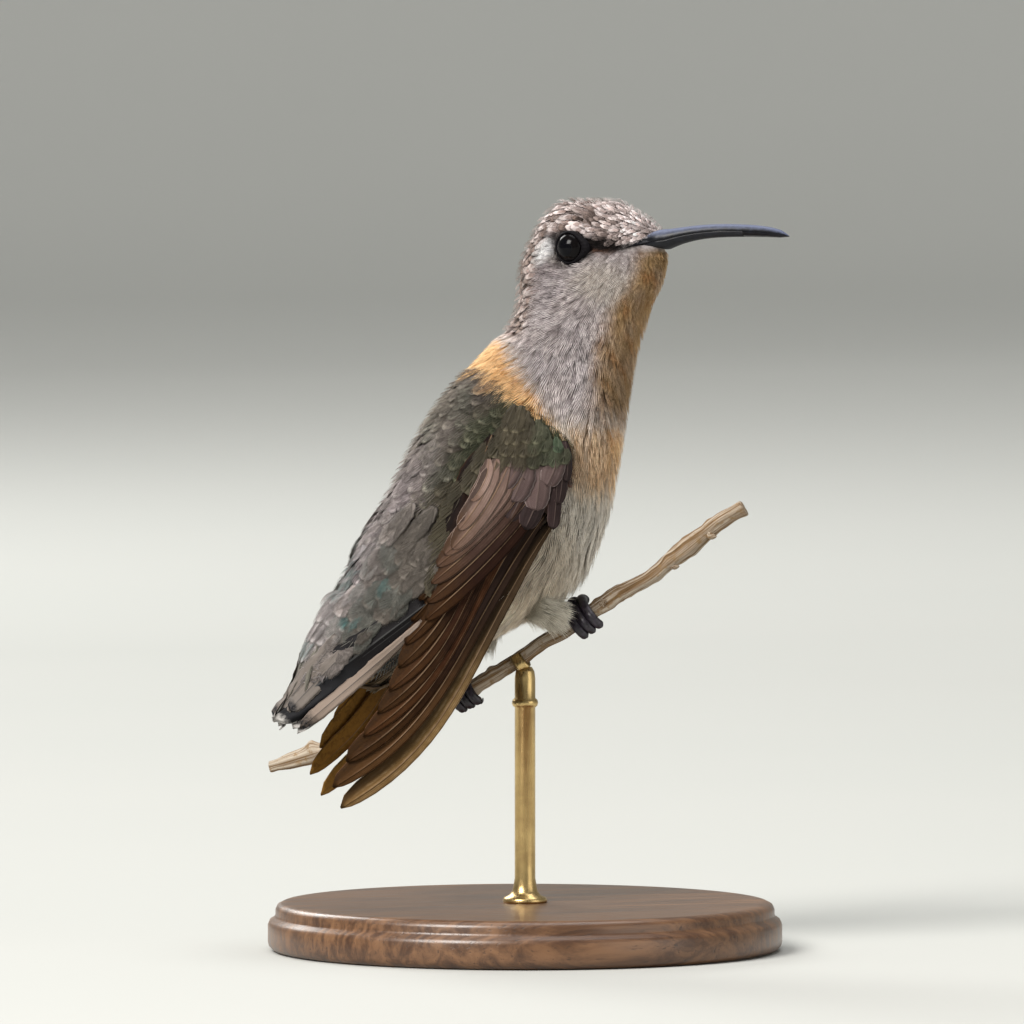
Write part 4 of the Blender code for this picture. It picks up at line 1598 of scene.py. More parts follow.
# ------------------------------------------------------------------ skin and coat
@dataclass
class Plumage:
    """The one skin and the small feathers that grow on it."""

    marks: Landmarks
    form: BodyForm
    markings: Markings
    lie: Lie
    seed: int = 20
    scale_tries: int = 70000
    barb_tries: int = 120000
    silk_tries: int = 260000
    puff_count: int = 700
    heights: tuple = (36.0, 44.0, 54.0, 62.0, 68.0, 73.0)
    silk_gaps: tuple = (0.42, 0.40, 0.35, 0.29, 0.25, 0.20)         # at those heights
    silk_lengths: tuple = (3.2, 3.0, 2.8, 2.3, 1.6, 0.95)

    def build(self) -> None:
        """Make the skin and the coat pieces."""
        self.rng = np.random.default_rng(self.seed)
        self.build_skin()
        self.build_scales()
        self.build_silk()

    def gap(self, p: Array, n: Array) -> Array:
        """Distance to the wings from the outer form over skin points."""
        outer = p + n * self.form.depth(p)[:, None]
        return self.markings.under_wing(outer)

    def build_skin(self) -> None:
        """Skin mesh with its markings and unwrap."""
        bm = self.form.bm
        unwrap = bm.loops.layers.uv.new("OFBake")
        for f in bm.faces:
            spots = [self.form.place[loop.vert.index] for loop in f.loops]
            for loop, uv in zip(f.loops, seamless(spots)):
                loop[unwrap].uv = uv
        bmesh.ops.scale(bm, vec=(MM, MM, MM), verts=bm.verts)
        mesh = bpy.data.meshes.new("skin")
        bm.to_mesh(mesh)
        bm.free()
        mesh.shade_smooth()
        p, n = self.form.points, self.form.normals
        rim, heart = self.markings.paint(p, n, self.gap(p, n))
        # The skin takes the coat's colours at about half brightness, as painted shade where it shows
        # between the feathers.
        paint_mesh(mesh, rim * 0.55, heart * 0.5, np.zeros(len(p)))
        publish("skin", mesh, SkinFinish().build(), "neck_feathers",
                FLESH + ("wing_right", "wing_left"))

    def zones(self, p: Array, n: Array) -> dict[str, Array]:
        """Shares of the plumage's regions at skin points."""
        u, z = self.marks.plate(p)
        m = self.markings
        gap = self.gap(p, n)
        crown = above(u, z, m.crown_line, 0.01)[:, 0]
        upper = n @ BACKWARD > 0.0
        hind = (np.abs(p[:, 1]) < 1.6) & (n[:, 0] < -0.5) & (z < 59.3)
        edge = level(m.wing_line, z)
        under = above(u, z, m.back_line, 0.01)[:, 0] < 0.5
        back = (under & upper) | hind
        back &= ~((u > edge - 0.7) & (gap < 1.4) & (z < 52.0))
        wing = (gap < 0.55) & (u > edge) & under
        marginal = wing & ((u > 3.6) | (z > 52.6))
        near = min_distance(p, self.marks.eye.values())
        bare = near < self.marks.eye_radius + 0.04
        bare |= (u > m.gape_top[0][0]) & (z < level(m.gape_top, u)) & (z > level(m.gape_bottom, u))
        crown = np.maximum(crown, m.nape(p, n))
        return {"crown": crown > 0.5, "back": back & ~wing, "wing": wing & ~marginal,
                "marginal": marginal, "bare": bare, "u": u, "z": z}

    def scale_spacing(self, p: Array, n: Array) -> Array:
        """Least distance between scale-like feathers; zero where there are none."""
        zone = self.zones(p, n)
        local = self.marks.in_head(p)
        fore = step(1.0, 8.0, local[:, 0])
        patchy = 0.82 + 0.40 * cloud(p, 0.9, 61)[:, 0]
        gap = np.where(zone["crown"], (0.62 - 0.22 * fore) * patchy, 0.0)
        gap = np.where(zone["back"], 1.0 + 0.9 * step(-40.0, -24.0, p @ TAILWARD), gap)
        gap = np.where(zone["marginal"], 0.9, gap)
        gap = np.where(zone["bare"], 0.0, gap)
        return gap

    def silk_spacing(self, p: Array, n: Array) -> Array:
        """Least distance between silky locks; zero where there are none."""
        zone = self.zones(p, n)
        z = zone["z"]
        gap = np.interp(z, self.heights, self.silk_gaps)
        local = self.marks.in_head(p)
        gap = gap * (1 - 0.25 * step(5.0, 9.0, local[:, 0]) * step(68.0, 71.0, z))
        closed = zone["crown"] | zone["back"] | zone["wing"] | zone["marginal"] | zone["bare"]
        hidden = (zone["u"] < -9.0) & (z < 36.0)
        gap = np.where(hidden, 0.9, gap)
        return np.where(closed, 0.0, gap)

    def jitter(self, count: int, low: float, high: float) -> Array:
        """Random numbers as a column."""
        return self.rng.uniform(low, high, (count, 1))

    def sow(self, tries: int,
            spacing: Callable[[Array, Array], Array]) -> tuple[Array, Array, Array, Array]:
        """Roots of new feathers, skin normals there, and their edge and middle colours."""
        roots, normals = self.form.scatter(self.rng, tries, spacing)
        rim, heart = self.markings.paint(roots, normals, self.gap(roots, normals))
        return roots, normals, rim, heart

    def grow(self, shape: Shape, roots: Array, length: Array, width: Array, rise: Array,
             rim: Array, heart: Array, stops: int = 5, sway: float = 0.16,
             base: float = 0.03) -> Tufts:
        """Bend copies of a shape over the skin.

        Args:
            shape: the shape.
            roots: root points on the skin.
            length: length of each copy.
            width: width of each copy.
            rise: height of each tip over the skin.
            rim: edge colours.
            heart: middle colours.
            stops: points along a path.
            sway: random turn of each copy, in radians.
            base: height of the roots.

        Returns:
            The tufts.
        """
        turn = self.rng.normal(0.0, sway, len(roots))[:, None]

        def way(p: Array, n: Array) -> Array:
            """The lie turned by each copy's own sway."""
            flow = self.lie(p, n)
            return flow * np.cos(turn) + np.cross(n, flow) * np.sin(turn)

        path, out = self.form.skin.march(roots, way, length, stops)
        share = np.linspace(0, 1, stops)[None, :, None]
        path = path + out * (base + rise[:, None, None] * share ** 0.8)
        tangent = unit(np.gradient(path, axis=1))
        side = unit(np.cross(tangent, out))
        out = unit(np.cross(side, tangent))
        return Tufts(shape, path, side, out, width, rim, heart, self.form.home(roots))

    def build_scales(self) -> None:
        """Rounded feathers of the crown, nape, back, rump and lesser wing coverts."""
        roots, normals, rim, heart = self.sow(self.scale_tries, self.scale_spacing)
        count = len(roots)
        gap = self.scale_spacing(roots, normals)
        rim = rim * self.jitter(count, 0.78, 1.18)
        heart = heart * self.jitter(count, 0.6, 1.4)
        crown = self.zones(roots, normals)["crown"]
        small = vane_shape(6, lambda t: math.sin(math.pi * min(0.14 + 0.74 * t, 1.0)) ** 0.6
                           if t < 0.99 else 0.34, ragged=0.22, thick=0.03, camber=0.03,
                           columns=SOFT_COLUMNS)
        length = np.where(crown, gap * 2.5, gap * 2.9) * self.jitter(count, 0.85, 1.2)[:, 0]
        width = np.where(crown, gap * 1.25, gap * 1.9) * self.jitter(count, 0.85, 1.15)[:, 0]
        depth = self.form.depth(roots)
        rise = depth * np.where(crown, 0.52, 0.70) * self.jitter(count, 0.96, 1.04)[:, 0]
        crown_scales, back_scales = (
            self.grow(small, roots[mask], length[mask], width[mask], rise[mask], rim[mask],
                      heart[mask]) for mask in (crown, ~crown))
        coat = Coat(PlumageFinish("scale_feathers", barb_depth=0.45, heart_size=0.42,
                                  heart_at=0.30, heart_reach=0.36).build(), "head_feathers")
        coat.publish("crown_feathers", [crown_scales], self.rng)
        back_coat = Coat(PlumageFinish("back_feathers", barb_count=20.0, barb_slant=1.5,
                                       barb_depth=0.45, heart_size=0.60, shaft=0.05).build(),
                         "back_feathers")
        loose = fringed(back_scales, fan_shape(), 0.12, self.rng)
        back_coat.publish("back_feathers", [back_scales, loose], self.rng)
        self.build_barbs(coat, back_coat)

    def build_barbs(self, crown_coat: Coat, back_coat: Coat) -> None:
        """Loose hair-like barbs over the scale feathers."""
        shape = lock_shape(((-0.36, -0.52, 0.92, 0.03), (-0.12, -0.16, 1.0, 0.05),
                            (0.12, 0.18, 0.96, 0.04), (0.36, 0.50, 0.86, 0.02)), 0.085)

        def spacing(p: Array, n: Array) -> Array:
            """Barbs stand closer than the scales."""
            crown = self.zones(p, n)["crown"]
            return self.scale_spacing(p, n) * np.where(crown, 0.95, 0.55)

        roots, normals, rim, heart = self.sow(self.barb_tries, spacing)
        count = len(roots)
        gap = self.scale_spacing(roots, normals)
        crown = self.zones(roots, normals)["crown"]
        pick = self.jitter(count, 0.0, 1.0)
        deep = np.where(crown[:, None], step(0.70, 0.95, pick) * 0.8, step(0.45, 0.9, pick))
        tint = blend(rim, heart, deep) * self.jitter(count, 0.85, 1.12)
        depth = self.form.depth(roots)
        length = np.where(crown, gap * 1.2, np.minimum(gap * 1.5, 1.7))
        length = length * self.jitter(count, 0.8, 1.25)[:, 0]
        width = np.where(crown, gap * 0.8, np.minimum(gap, 1.1)) * self.jitter(count, 0.8, 1.2)[:, 0]
        rise = depth * np.where(crown, 0.60, 0.80) * self.jitter(count, 0.94, 1.04)[:, 0]
        for mask, coat, name in ((crown, crown_coat, "crown_barbs"),
                                 (~crown, back_coat, "back_barbs")):
            tufts = self.grow(shape, roots[mask], length[mask], width[mask], rise[mask],
                              tint[mask], blend(tint, heart, 0.3)[mask], sway=0.22, base=0.40)
            coat.publish(name, [tufts], self.rng)

    def build_silk(self) -> None:
        """Hair-like locks of the face, throat, neck, breast, belly and thighs."""
        shape = lock_shape(((-0.34, -0.46, 0.88, 0.03), (0.0, 0.04, 1.0, 0.05),
                            (0.34, 0.46, 0.82, 0.02)), 0.20)
        roots, normals, rim, heart = self.sow(self.silk_tries, self.silk_spacing)
        count = len(roots)
        gap = self.silk_spacing(roots, normals)
        z = roots[:, 2]
        length = np.interp(z, self.heights, self.silk_lengths)
        local = self.marks.in_head(roots)
        length = length * (1 - 0.45 * step(4.5, 9.0, local[:, 0]) * step(67.0, 71.0, z))
        length = length * self.jitter(count, 0.75, 1.3)[:, 0]
        width = gap * 1.5 * self.jitter(count, 0.8, 1.2)[:, 0]
        depth = self.form.depth(roots)
        rise = depth * self.jitter(count, 0.70, 0.86)[:, 0]
        near = min_distance(roots, self.marks.eye.values()) - self.marks.eye_radius
        u, _ = self.marks.plate(roots)
        full = step(1.0, 6.0, u) * step(47.0, 42.0, z)
        rise, length = rise * (1 + 1.1 * full), length * (1 + 0.25 * full)
        lash = near < 0.55
        length, rise = np.where(lash, 0.42, length), np.where(lash, 0.30, rise)
        dark = step(0.70, 0.95, self.jitter(count, 0.0, 1.0))
        shade = self.jitter(count, 0.82, 1.20)
        plain = step(52.0, 47.0, z)[:, None]
        rim = blend(rim, heart, dark * (0.85 - 0.55 * plain)) * shade
        heart = blend(heart, rim, 0.45 * plain)
        tufts = self.grow(shape, roots, length, width, rise, rim, heart * shade, sway=0.10)
        coat = Coat(SilkFinish().build(), "breast_feathers")
        coat.publish("silk_feathers", [tufts], self.rng)
        self.build_puffs(coat)

    def build_puffs(self, coat: Coat) -> None:
        """Long white tufts that hang round the tops of the legs."""
        shape = lock_shape(((-0.40, -0.50, 0.85, 0.10), (-0.14, -0.16, 1.0, 0.20),
                            (0.14, 0.20, 0.92, 0.16), (0.40, 0.52, 0.76, 0.05)), 0.13)
        count = self.puff_count
        tufts = []
        for side in Side:
            knee, foot = middle(f"thigh_{side.value}"), middle(f"foot_{side.value}")
            way = unit(foot - knee - UPWARD * 0.8)
            across = unit(np.cross(way, np.array([0.0, 1.0, 0.0])))
            other = np.cross(way, across)
            angle = self.jitter(count, 0.0, 2 * math.pi)
            ring = across * np.cos(angle) + other * np.sin(angle)
            back = self.jitter(count, -1.2, 1.7)
            start = knee - way * (0.4 + back) + ring * self.jitter(count, 0.3, 1.7)
            reach = self.jitter(count, 1.3, 2.5)
            share = np.linspace(0, 1, 6)[None, :, None]
            flare = self.jitter(count, 0.05, 0.75)[:, :, None] * share ** 1.4
            path = start[:, None] + way * (reach[:, :, None] * share) + ring[:, None] * flare
            path = path - UPWARD * (0.35 * share ** 2)
            tangent = unit(np.gradient(path, axis=1))
            edge = unit(np.cross(tangent, ring[:, None]))
            out = np.cross(edge, tangent)
            shade = self.jitter(count, 0.86, 1.10)
            tufts.append(Tufts(shape, path, edge, out, self.jitter(count, 0.5, 0.9)[:, 0],
                               tone(228, 222, 208) * shade, tone(186, 178, 160) * shade,
                               self.form.home(start)))
        coat.publish("leg_puffs", tufts, self.rng)


# ------------------------------------------------------------------ wings and tail
@dataclass
class Plane:
    """A plane on which feathers are laid out before they drop on a surface."""

    first: Array
    second: Array
    inward: Array
    reach: float = 60.0

    def starts(self, spots: Array) -> Array:
        """Ray starts over places on the plane."""
        return spots[..., :1] * self.first + spots[..., 1:2] * self.second \
            - self.inward * self.reach

    def drop(self, spots: Array, ground: Ground, lift: Array,
             hug: bool = False) -> tuple[Array, Array]:
        """Path on the surface under places on the plane.

        Args:
            spots: places along one path.
            ground: the surface.
            lift: heights over it.
            hug: draws places beyond the surface's edge back to it.

        Returns:
            Points and outward directions.
        """
        starts = self.starts(spots)
        hits = ground.cast(starts, self.inward)
        deep = (hits - starts) @ self.inward
        good = ~np.isnan(deep)
        index = np.arange(len(deep))
        if not good.any():
            near, _ = ground.nearest(starts + self.inward * self.reach)
            deep, good = (near - starts) @ self.inward, np.ones(len(deep), bool)
        deep = evened(np.interp(index, index[good], deep[good]), 2)
        points = starts + self.inward * (deep - lift)[:, None]
        if hug:
            near, normals = ground.nearest(starts + self.inward * deep[:, None])
            points = evened(near + normals * lift[:, None], 3)
        tangent = unit(np.gradient(points, axis=0))
        _, normals = ground.nearest(points)
        facing = unit(normals - tangent * dot(normals, tangent))
        facing = np.where(dot(facing, -self.inward) > 0.25, facing, -self.inward)
        facing = unit(evened(facing, 3))
        return points, unit(facing - tangent * dot(facing, tangent))


@dataclass(frozen=True)
class Quill:
    """One feather's root and tip on a plane, and how it curves."""

    root: tuple[float, float]
    tip: tuple[float, float]
    width: float
    lift: float
    bulge: float = 0.0
    rim: Any = None
    heart: Any = None
    bow: float = 0.9
    sink: float = 0.0


def lay_quills(quills: Sequence[Quill], plane: Plane, ground: Ground, shape: Shape,
               home: Callable[[Array], Array], narrow: float = 0.5, tilt: float = 0.05,
               stops: int = 25, hug: bool = False) -> Tufts:
    """Bend feathers over a surface, each along its own curve.

    Args:
        quills: the feathers.
        plane: plane of their roots and tips.
        ground: surface they lie on.
        shape: the vane.
        home: gives places on the unwrap.
        narrow: width of the leading web as a share of the trailing one.
        tilt: how far the trailing edge dips under the next feather.
        stops: points along a path.
        hug: keeps them on the surface beyond its outline.

    Returns:
        The feathers.
    """
    share = np.linspace(0, 1, stops)[:, None]
    path, side, out = [], [], []
    for quill in quills:
        root, tip = np.array(quill.root, float), np.array(quill.tip, float)
        chord = tip - root
        across = unit(np.array([-chord[1], chord[0]]))
        bow = np.sin(math.pi * share ** quill.bow) * quill.bulge
        spots = blend(root, tip, share) + across * bow
        heights = quill.lift - quill.sink * (1 - share[:, 0]) ** 2
        points, facing = plane.drop(spots, ground, heights, hug)
        tangent = unit(np.gradient(points, axis=0))
        cross = unit(np.cross(tangent, facing))
        path.append(points)
        side.append(unit(cross - facing * tilt))
        out.append(unit(facing + cross * tilt))
    path = np.stack(path)
    return Tufts(shape, path, np.stack(side), np.stack(out), np.array([q.width for q in quills]),
                 np.array([q.rim for q in quills]), np.array([q.heart for q in quills]),
                 home(path[:, 0]), narrow)


def mirrored(batch: Tufts, lift: Array, home: Callable[[Array], Array]) -> Tufts:
    """The same feathers on the bird's other side."""
    shape = batch.shape
    order = np.concatenate([np.arange(s + n - 1, s - 1, -1)
                            for s, n in zip(shape.starts, shape.sizes)])
    turned = Shape(shape.points, shape.corners[order], shape.starts, shape.sizes,
                   shape.vane[order])
    path = batch.path * OTHER_SIDE + lift
    return Tufts(turned, path, batch.side * OTHER_SIDE, batch.out * OTHER_SIDE, batch.width,
                 batch.rim, batch.heart, home(path[:, 0]), batch.narrow)


@dataclass
class Wings:
    """Flight feathers and the larger coverts of both folded wings."""

    marks: Landmarks
    home: Callable[[Array], Array]
    outer: Ground
    seed: int = 31
    primary_tips: tuple = ((-11.0, 37.4), (-11.8, 35.2), (-12.5, 32.8), (-13.2, 30.4),
                           (-14.2, 28.0), (-15.4, 25.6), (-16.9, 23.2), (-18.6, 20.6),
                           (-20.0, 17.9), (-19.2, 15.7))
    # Brightness of each primary from the innermost out: the inner ones and every other one are
    # darkened as painted shade from the coverts and overlapping feathers, and the outermost is
    # lightened as painted light where the lamp catches it.
    primary_painted_shades: tuple = (0.30, 0.30, 0.45, 0.30, 0.70, 0.32, 0.90, 0.28, 0.62, 1.40)
    inner_root: tuple = (-3.4, 54.6)
    outer_root: tuple = (2.9, 45.4)
    secondary_lines: tuple = (((1.6, 48.0), (-10.4, 35.4), 2.9), ((1.0, 48.8), (-10.2, 37.2), 2.8),
                              ((0.4, 49.6), (-9.8, 39.2), 2.7), ((-0.3, 50.3), (-9.2, 41.0), 2.6),
                              ((-1.0, 50.9), (-8.4, 42.2), 2.5), ((-1.8, 51.4), (-7.6, 42.8), 2.4),
                              ((-2.9, 52.2), (-6.9, 44.8), 2.1), ((-3.8, 52.2), (-5.6, 47.8), 1.5))
    covert_lines: tuple = (((3.4, 49.6), (2.6, 44.6), 1.7, 0), ((1.9, 49.6), (0.3, 44.6), 2.2, 0),
                           ((0.2, 50.4), (-2.1, 45.6), 2.3, 0), ((3.7, 52.2), (3.6, 47.6), 1.7, 0),
                           ((1.5, 51.4), (1.0, 46.9), 2.5, 1), ((0.2, 52.2), (-1.7, 47.5), 2.7, 1),
                           ((-1.5, 52.8), (-4.0, 48.3), 2.2, 1), ((-0.9, 53.0), (-2.9, 48.8), 2.4, 1),
                           ((3.2, 53.4), (2.3, 49.2), 2.2, 1), ((4.2, 53.8), (4.3, 49.8), 1.5, 0))
    lesser_rows: tuple = (8, 8, 8, 7)
    scapular_lines: tuple = (((-7.9, 43.6), (-10.0, 37.6), 3.0), ((-7.4, 45.8), (-9.6, 40.2), 3.0),
                             ((-6.9, 47.8), (-9.1, 42.2), 3.0), ((-6.2, 49.8), (-8.3, 44.6), 2.9),
                             ((-5.2, 51.6), (-7.3, 46.6), 2.8), ((-4.4, 53.2), (-6.2, 48.6), 2.8),
                             ((-3.4, 54.6), (-4.9, 50.3), 2.6), ((-2.4, 55.6), (-3.6, 51.6), 2.5),
                             ((-1.3, 56.6), (-2.3, 52.9), 2.4))
    far_sink: float = 0.9           # how much lower the far wing sits than its CAD node
    umber: Array = field(default_factory=lambda: tone(44, 23, 15))
    tan_edge: Array = field(default_factory=lambda: tone(112, 80, 56))
    cream: Array = field(default_factory=lambda: tone(232, 202, 158))

    def build(self) -> None:
        """Make both wings."""
        rng = np.random.default_rng(self.seed)
        plane = Plane(self.marks.fore_axis, UPWARD, self.marks.deep_axis)
        ground = Ground(trace(("wing_right", "primaries_right")))
        columns = (-0.5, -0.36, -0.15, -0.03, 0.0, 0.03, 0.18, 0.38, 0.5)
        blade = vane_shape(40, self.blade_outline, ragged=0.03, thick=0.02, columns=columns,
                           ridge=0.028, camber=0.02)
        round_tip = vane_shape(12, self.covert_outline, ragged=0.04, thick=0.03,
                               columns=(-0.5, -0.28, -0.04, 0.0, 0.04, 0.28, 0.5), ridge=0.02,
                               camber=0.05)
        soft_tip = vane_shape(12, self.covert_outline, ragged=0.16, thick=0.03,
                              columns=SOFT_COLUMNS, camber=0.07)
        broad = vane_shape(40, self.round_outline, ragged=0.03, thick=0.02, columns=columns,
                           ridge=0.028, camber=0.02)
        ten = self.primaries()
        outer = lay_quills(ten[:3], plane, ground, broad, self.home, 0.42, 0.06, 35)
        flight = lay_quills(ten[3:], plane, ground, blade, self.home, 0.42, 0.06, 35)
        inner = lay_quills(self.secondaries(rng), plane, ground, blade, self.home, 0.7, 0.06, 31)
        coverts = lay_quills(self.coverts(rng), plane, ground, round_tip, self.home, 0.9, 0.03, 15)
        lesser = lay_quills(self.lesser(rng), plane, ground, soft_tip, self.home, 1.0, 0.0, 15)
        scapulars = lay_quills(self.scapulars(rng), plane, self.outer, soft_tip, self.home, 1.0,
                               0.0, 15, True)
        lift = middle("primaries_left") - middle("primaries_right") * OTHER_SIDE \
            - UPWARD * self.far_sink
        soft = QuillFinish("covert_feathers", barbs=26.0, edge=0.86,
                           shaft_tone=(0.10, 0.07, 0.06)).build()
        cloak = PlumageFinish("scapular_feathers", barb_count=24.0, barb_slant=1.4,
                              barb_depth=0.4, heart_size=0.7, shaft=0.05).build()
        fan = fan_shape(12, 0.055)
        for side in Side:
            groups = ([inner, flight], [outer], [coverts],
                      [scapulars, fringed(scapulars, fan, 0.10, rng), lesser,
                       fringed(lesser, fan, 0.10, rng)])
            if side is Side.LEFT:
                groups = tuple([mirrored(batch, lift * share, self.home) for batch in group]
                               for group, share in zip(groups, (1.0, 1.0, 1.0, 0.5)))
            finish = self.flight_finish(side)
            outermost = replace(finish, name=f"outer_feathers_{side.value}", root_dark=0.85)
            for name, group, material, slot, nodes in (
                    ("flight", groups[0], finish.build(), "wing_feathers", ("primaries",)),
                    ("outer_flight", groups[1], outermost.build(), "wing_feathers", ()),
                    ("coverts", groups[2], soft, "wing_feathers", ()),
                    ("scapulars", groups[3], cloak, "back_feathers", ())):
                Coat(material, slot).publish(f"{name}_{side.value}", group, rng,
                                             [f"{node}_{side.value}" for node in nodes])

    @staticmethod
    def flight_finish(side: Side) -> QuillFinish:
        """Dark quills with golden-brown ends; on the far side the golden band is brighter and longer,
        painted light shining through the feathers.
        """
        start, share, band = {Side.RIGHT: (0.74, 0.40, (0.062, 0.027, 0.006)),
                              Side.LEFT: (0.64, 0.85, (0.230, 0.114, 0.022))}[side]
        return QuillFinish(f"flight_feathers_{side.value}", band_tone=band, band_start=start,
                           band_soft=0.16, band_share=share, edge=0.92, streaks=0.36,
                           overlap_shade=0.92, gloss=0.06, shaft_tone=(0.20, 0.13, 0.08))

    @staticmethod
    def blade_outline(t: float) -> float:
        """Width of a flight feather along its length."""
        start = min(1.0, 0.35 + t * 3.0)
        end = max(0.0, 1 - max(0.0, (t - 0.66) / 0.34) ** 3.2) ** 0.62
        return max(start * end, 0.03)

    @staticmethod
    def round_outline(t: float) -> float:
        """Width of an outer flight feather along its length."""
        start = min(1.0, 0.35 + t * 3.0)
        end = max(0.0, 1 - max(0.0, (t - 0.84) / 0.16) ** 2.6) ** 0.5
        return max(start * end, 0.10)

    @staticmethod
    def covert_outline(t: float) -> float:
        """Width of a covert along its length."""
        start = min(1.0, 0.45 + t * 1.6)
        end = max(0.0, 1 - max(0.0, (t - 0.62) / 0.38) ** 2.2) ** 0.5
        return max(start * end, 0.03)

    def primaries(self) -> list[Quill]:
        """Ten primaries, the outermost lowest in the stack."""
        made = []
        last = len(self.primary_tips) - 1
        for k, tip in reversed(list(enumerate(self.primary_tips))):
            f = k / last
            root = blend(np.array(self.inner_root), np.array(self.outer_root), f)
            # This primary's painted shade, which dims its edge as well; the outermost's value above 1
            # is painted light.
            shade = self.primary_painted_shades[k]
            rim = blend(blend(self.umber, self.tan_edge, 0.40), self.tan_edge * 1.25, f ** 2)
            rim = blend(self.tan_edge, self.cream, 0.65) if k == last else rim * (0.5 + 0.5 * shade)
            heart = blend(self.umber, tone(96, 58, 26), 0.45 * f * f) * shade
            if k > 7:
                heart = blend(heart, tone(128, 104, 66), 0.10 + 0.60 * (k - 8))
            made.append(Quill(tuple(root), tip, 4.3 - 0.9 * f, -0.80 + 0.085 * (last - k),
                              0.8 + 2.0 * f, rim, heart, 1.7))
        return made

    def secondaries(self, rng: np.random.Generator) -> list[Quill]:
        """Secondaries and tertials, which lie on the primaries."""
        made = []
        for k, (root, tip, width) in enumerate(self.secondary_lines):
            shade = rng.uniform(0.92, 1.10)
            pink = k / (len(self.secondary_lines) - 1)
            heart = blend(self.umber, tone(126, 104, 95), pink ** 1.5)
            rim = blend(blend(self.umber, self.tan_edge, 0.25), tone(182, 160, 148), pink ** 1.2)
            # Painted shade: the first secondaries, beside the dark inner primaries, are darkened the
            # same way.
            shade = shade * (0.55 + 0.45 * min(1.0, 1.8 * pink))
            made.append(Quill(root, tip, width * (1 + 0.25 * pink), 0.02 + 0.055 * k, 0.5,
                              rim * shade, heart * shade))
        return made

    def coverts(self, rng: np.random.Generator) -> list[Quill]:
        """Primary, greater and median coverts."""
        rims = (tone(92, 74, 72), tone(154, 138, 136))
        hearts = (tone(40, 28, 28), tone(84, 68, 66))
        made = []
        for k, (root, tip, width, kind) in enumerate(self.covert_lines):
            shade = rng.uniform(0.86, 1.14)
            place = np.array(root) + rng.uniform(-0.25, 0.25, 2)
            end = np.array(tip) + rng.uniform(-0.35, 0.35, 2)
            wide = (1.1, 1.25)[kind]
            made.append(Quill(tuple(place), tuple(end), width * wide * rng.uniform(0.9, 1.1),
                              0.10 + 0.025 * k, rng.uniform(-0.2, 0.4),
                              rims[kind] * shade, hearts[kind] * shade))
        return made

    def lesser(self, rng: np.random.Generator) -> list[Quill]:
        """Small soft green-brown coverts over the wing's bend."""
        made = []
        for row, count in enumerate(self.lesser_rows):
            for k in range(count):
                f = (k + 0.5 * (row % 2) + rng.uniform(-0.25, 0.25)) / (count - 0.5)
                tip = np.array([-2.9 + 7.0 * f, 50.9 + 0.6 * f + 1.2 * row])
                tip += rng.uniform(-0.35, 0.35, 2)
                top = np.interp(tip[0], (-2.6, -0.5, 2.6, 3.9), (59.0, 57.3, 55.0, 53.8))
                reach = min(2.7 * rng.uniform(0.9, 1.1), float(top - tip[1]))
                root = tip + np.array([0.42 - 0.44 * f, 1.0]) * reach
                if reach < 1.5:
                    continue
                shade = rng.uniform(0.80, 1.20)
                green = 0.75 * step(0.35, 0.8, np.array(f)) * rng.uniform(0.4, 1.0)
                rim = blend(tone(112, 104, 84), tone(90, 112, 88), green)
                heart = blend(tone(68, 61, 48), tone(48, 70, 52), green)
                made.append(Quill(tuple(root), tuple(tip), rng.uniform(1.25, 1.75),
                                  0.30 + 0.07 * row + 0.006 * k, rng.uniform(-0.2, 0.3),
                                  rim * shade, heart * shade, sink=0.45))
        return made

    def scapulars(self, rng: np.random.Generator) -> list[Quill]:
        """Soft shoulder feathers over the wing's inner edge."""
        made = []
        for k, (root, tip, width) in enumerate(self.scapular_lines):
            shade = rng.uniform(0.88, 1.12)
            place = np.array(root) + rng.uniform(-0.3, 0.3, 2)
            end = np.array(tip) + rng.uniform(-0.5, 0.5, 2)
            made.append(Quill(tuple(place), tuple(end), width, 0.02 + 0.04 * k, 0.2,
                              tone(104, 96, 78) * shade, tone(60, 55, 42) * shade, sink=0.7))
        return made


